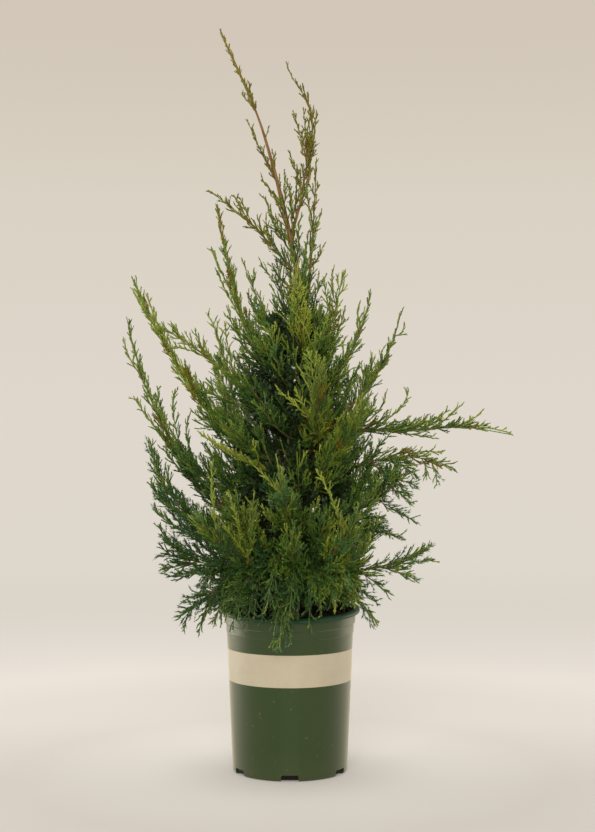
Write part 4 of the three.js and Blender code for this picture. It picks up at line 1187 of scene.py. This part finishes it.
def finerTone(tone, rule, share, random):  # shoots near a tip are lighter
    return tone + rule["toneRise"] * share + rule["footTone"] + random.normal(0, rule["toneVary"], len(tone))


def growPlant():
    shades = {name: [] for name in (*leafShades, *youngShades, *bronzeShades, *paintedShadeInsideColours)}
    stemWood, shootWood = [], []
    for number, stem in enumerate(allStems()):
        random = np.random.default_rng((shoots["seed"], number))
        line = stem["line"][stem["woody"]:]
        line = atPlaces(line, np.linspace(0, len(line) - 1, shoots["linePoints"]))[None]
        if stem["wood"]:
            stemWood.append((line, *stem["wood"]))
            kind = np.array([bronzeKind if stem["bronze"] > 0.5 else plainKind])
            tone = np.array([stem["tone"] + shoots["stemTone"]])
            deal(shades, line[:, shoots["leafyFrom"]:], tone, kind, *stem["cord"])
        if not stem["reach"]:
            continue

        first, _, _ = growOn(line, {**shoots, **stem}, random)
        height = first[:, 0, 2]
        # painted light and shade: shoots out towards the crown's outline get lighter shades, shoots nearer
        # the axis darker ones
        light = crown["paintedLightRise"] * (exposure(first[:, 2]) - crown["paintedLightFrom"])
        top = crown["topTone"] * rising(height, *crown["topSpan"])
        tone = stem["tone"] + light + top + paintedLightAndShadeAt(first[:, 2])
        tone += random.normal(0, shoots["toneVary"], len(first))
        bronze = stem["bronze"] + crown["topBronze"] * rising(height, *crown["bronzeSpan"])
        bronzed = random.uniform(0, 1, len(first)) < bronze
        young = random.uniform(0, 1, len(first)) < stem["young"]
        kinds = np.where(young, youngKind, np.where(bronzed, bronzeKind, plainKind))
        shootWood.append((first[:, :2], *shoots["stalk"]))
        deal(shades, first[:, 1:4], tone + shoots["footTone"], kinds, *shoots["footCord"])
        deal(shades, first[:, 3:], tone + shoots["tipTone"], kinds, *shoots["tipCord"])

        spread = stem["spread"] * np.where(young, shoots["youngSpread"], 1)
        second, owner, share = growFiner(first, branchlets, spread, random)
        kept = (exposure(second[:, -1]) > crown["inside"]) | (np.arange(len(second)) % 2 == 0)
        second, owner, share = second[kept], owner[kept], share[kept]
        tone, kinds = finerTone(tone[owner], branchlets, share, random), kinds[owner]
        deal(shades, second, tone, kinds, *branchlets["cord"])

        lit = exposure(second[:, 1]) > crown["shade"]
        third, owner, share = growFiner(second[lit], spurs, spread[owner][lit], random)
        tone, kinds = finerTone(tone[lit][owner], spurs, share, random), kinds[lit][owner]
        deal(shades, third, tone, kinds, *spurs["cord"])
    return shades, stemWood, shootWood


def inPieces(batches, perLine, perLength):  # splits lines so that no piece has too many triangles
    load = 0
    for lines, _, _ in batches:
        load += len(lines) * (lines.shape[1] - 1) * perLine + lengthsOf(lines).sum() * perLength
    count = max(1, math.ceil(load / twigs["pieceLimit"]))
    return [[(lines[k::count], root, tip) for lines, root, tip in batches] for k in range(count)]


def foliagePieces(name, batches, perLine, perLength, tree, values):
    total = 0
    for k, part in enumerate(inPieces(batches, perLine, perLength)):
        piece = lineObject(f"{name}_{k + 1}", part)
        runTree(piece, tree, values)
        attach(piece, "root")
        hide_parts(*[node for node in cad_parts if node.startswith("foliage_")])
        total += triangles(piece.data)
        print(piece.name, triangles(piece.data), "triangles")
    return total


def corded(batches, sizes):  # inside the crown, spurs are hidden by their own leaves
    kept = []
    for lines, root, tip in batches:
        if sizes is leaf and lines.shape[1] == spurs["points"]:
            lines = lines[exposure(lines[:, -1]) > twigs["spurCords"]]
        kept.append((lines, root, tip))
    return kept


def woodFinish():
    finish = Finish("twigWood", {"Base Color": twigs["wood"], "Specular IOR Level": 0.25})
    grain = finish.speckle(finish.stretch(finish.place(), (1, 1, 0.4)), 350, 3)
    finish.feed("Base Color", finish.blend(grain, twigs["wood"], twigs["pale"]))
    finish.feed("Roughness", 0.65 + grain * 0.2)
    finish.bump(grain, 0.3, 0.0005)
    return finish.material


def shadeFinish(name, colour, roughness):
    return Finish(name, {"Base Color": colour, "Roughness": roughness, "Specular IOR Level": 0.3}).material


def makeFoliage():
    shades, stemWood, shootWood = growPlant()
    whorls, tubes, total = leafTree(), twigTree(), 0
    smallest, largest = twigs["leafSizes"]
    kinds = ((leafShades, leaf), (youngShades, needle), (bronzeShades, leaf), (paintedShadeInsideColours, insideLeaf))
    for colours, sizes in kinds:
        pattern = whorl("whorl", sizes)
        perLength = 2 * sizes["count"] / sizes["gap"]
        turn = math.pi / sizes["count"] + twigs["leafTurn"]
        for name, colour in colours.items():
            values = {"Whorl": pattern, "Gap": sizes["gap"] * mm, "Turn": turn, "Smallest": smallest,
                      "Largest": largest, "Seed": sizes["seed"],
                      "Finish": shadeFinish(f"leaf_{name}", colour, twigs["leafRoughness"])}
            total += foliagePieces(f"leaves_{name}", shades[name], 0, perLength, whorls, values)
            # the cords are coloured darker than their leaves: partly the twig's own darker green, partly
            # painted shade between the leaf whorls
            cordPaintedShadeColour = (*(part * twigs["cordPaintedShade"] for part in colour[:3]), 1)
            values = {"Sides": twigs["sides"], "Girth": sizes["girth"] * mm,
                      "Finish": shadeFinish(f"cord_{name}", cordPaintedShadeColour, twigs["cordRoughness"])}
            cords = corded(shades[name], sizes)
            total += foliagePieces(f"twigs_{name}", cords, 2 * twigs["sides"], 0, tubes, values)
        bpy.data.objects.remove(pattern)
    finish = woodFinish()
    for name, lines, sides in (("twigs_stem", stemWood, 5), ("twigs_shoot", shootWood, 3)):
        values = {"Sides": sides, "Girth": mm, "Finish": finish}
        total += foliagePieces(name, lines, 2 * sides, 0, tubes, values)
    print("foliage grown,", total, "triangles")


makeFoliage()


# Studio

studio = {
    "flat": 2.2, "radius": 7.0, "height": 8.0, "columns": 96, "far": 8.0,
    "paper": [(0.0, rgb(206, 203, 199)), (0.12, rgb(206, 203, 199)), (0.36, (0.02, 0.02, 0.02))],
    # the darker paper is painted shade, laid on the floor from behind the pot towards the front
    "paintedShadePaper": [(0.0, rgb(176, 173, 169)), (0.12, rgb(176, 173, 169)), (0.36, (0.015, 0.015, 0.015))],
    "paintedShadeFrom": 0.35, "paintedFloorShade": [(0, 0), (0.25, 0.26), (0.42, 0.46), (0.6, 0.5), (0.75, 0.62)],
    # painted light: the sweep glows though it is no lamp, brightest right under the pot to lift its shadow,
    # dimmer in a ring round it, and graded by distance across the backdrop
    "paintedLightGlow": [(0.0, (0.16, 0.155, 0.145)), (0.025, (0.165, 0.159, 0.15)), (0.05, (0.04, 0.039, 0.037)),
             (0.09, (0.07, 0.068, 0.065)), (0.15, (0.188, 0.184, 0.177)), (0.36, rgb(220, 213, 202)),
             (0.556, rgb(221, 213, 202)), (0.75, rgb(216, 208, 194)), (0.875, rgb(208, 197, 182))],
    "lights": [
        {"name": "overhead", "place": (-0.1, 0.4, 2.6), "size": (2.0, 2.0), "power": 36, "gloss": False},
        {"name": "front_box", "place": (-0.3, -3.1, 1.35), "size": (1.6, 1.6), "power": 61, "gloss": False},
        {"name": "left_strip", "place": (-1.55, 0.6, 0.5), "size": (1.3, 1.0), "power": 46, "gloss": True},
        {"name": "right_strip", "place": (1.45, 0.75, 0.5), "size": (1.0, 1.0), "power": 15, "gloss": True},
    ],
    "aim": (0, 0, 0.5), "sky": rgb(255, 250, 243), "skyPower": 0.63, "lamp": (1.0, 0.98, 0.95),
    "stripColour": (1.0, 0.92, 0.74),
}


def makeStudio():
    bend, columns = studio["radius"] - studio["flat"], studio["columns"]
    profile = [(r, 0) for r in np.linspace(0.05, studio["flat"] * 0.98, 12)]
    for a in np.linspace(0, math.pi / 2, 24):
        profile.append((studio["flat"] + bend * math.sin(a), bend * (1 - math.cos(a))))
    profile.append((studio["radius"], studio["height"]))
    angles = np.linspace(0, 2 * math.pi, columns, endpoint=False)
    points = [(r * math.cos(a), r * math.sin(a), z) for r, z in profile for a in angles]
    faces = ringFaces(len(profile), columns) + [list(range(columns))]
    sheet = addObject("paper_sweep", meshFrom("paper_sweep", points, faces))
    finish = Finish("palePaper", {"Roughness": 0.95, "Specular IOR Level": 0.0, "Emission Strength": 1.0})
    place = finish.place()
    reach = finish.node("ShaderNodeVectorMath", {"operation": "LENGTH"}, {0: place}, output="Value")
    share = reach * (1 / studio["far"])
    # painted shade: the floor blends towards the darker paper the further forward it lies
    ahead = studio["paintedShadeFrom"] - finish.node("ShaderNodeSeparateXYZ", None, {0: place}, output="Y")
    paintedFloorShade = finish.ramp(ahead, [(at, (level,) * 3) for at, level in studio["paintedFloorShade"]])
    paper, paintedShadePaper = finish.ramp(share, studio["paper"]), finish.ramp(share, studio["paintedShadePaper"])
    finish.feed("Base Color", finish.blend(paintedFloorShade, paper, paintedShadePaper))
    # painted light: the paper's glow, set by its distance from the pot
    finish.feed("Emission Color", finish.ramp(share, studio["paintedLightGlow"]))
    sheet.data.materials.append(finish.material)
    for sizes in studio["lights"]:
        lamp = bpy.data.lights.new(sizes["name"], "AREA")
        lamp.shape = "RECTANGLE"
        lamp.size, lamp.size_y = sizes["size"]
        lamp.energy = sizes["power"]
        lamp.color = studio["stripColour"] if sizes["gloss"] else studio["lamp"]
        stand = addObject(sizes["name"], lamp)
        stand.visible_camera = False
        stand.visible_diffuse = not sizes["gloss"]
        stand.location = sizes["place"]
        stand.rotation_euler = (Vector(studio["aim"]) - stand.location).to_track_quat("-Z", "Y").to_euler()
    world = bpy.data.worlds.new("studioAir")
    bpy.context.scene.world = world
    world.use_nodes = True
    world.node_tree.nodes["Background"].inputs["Color"].default_value = studio["sky"]
    world.node_tree.nodes["Background"].inputs["Strength"].default_value = studio["skyPower"]
    bpy.context.scene.view_settings.view_transform = "Standard"
    print("studio lit")


makeStudio()
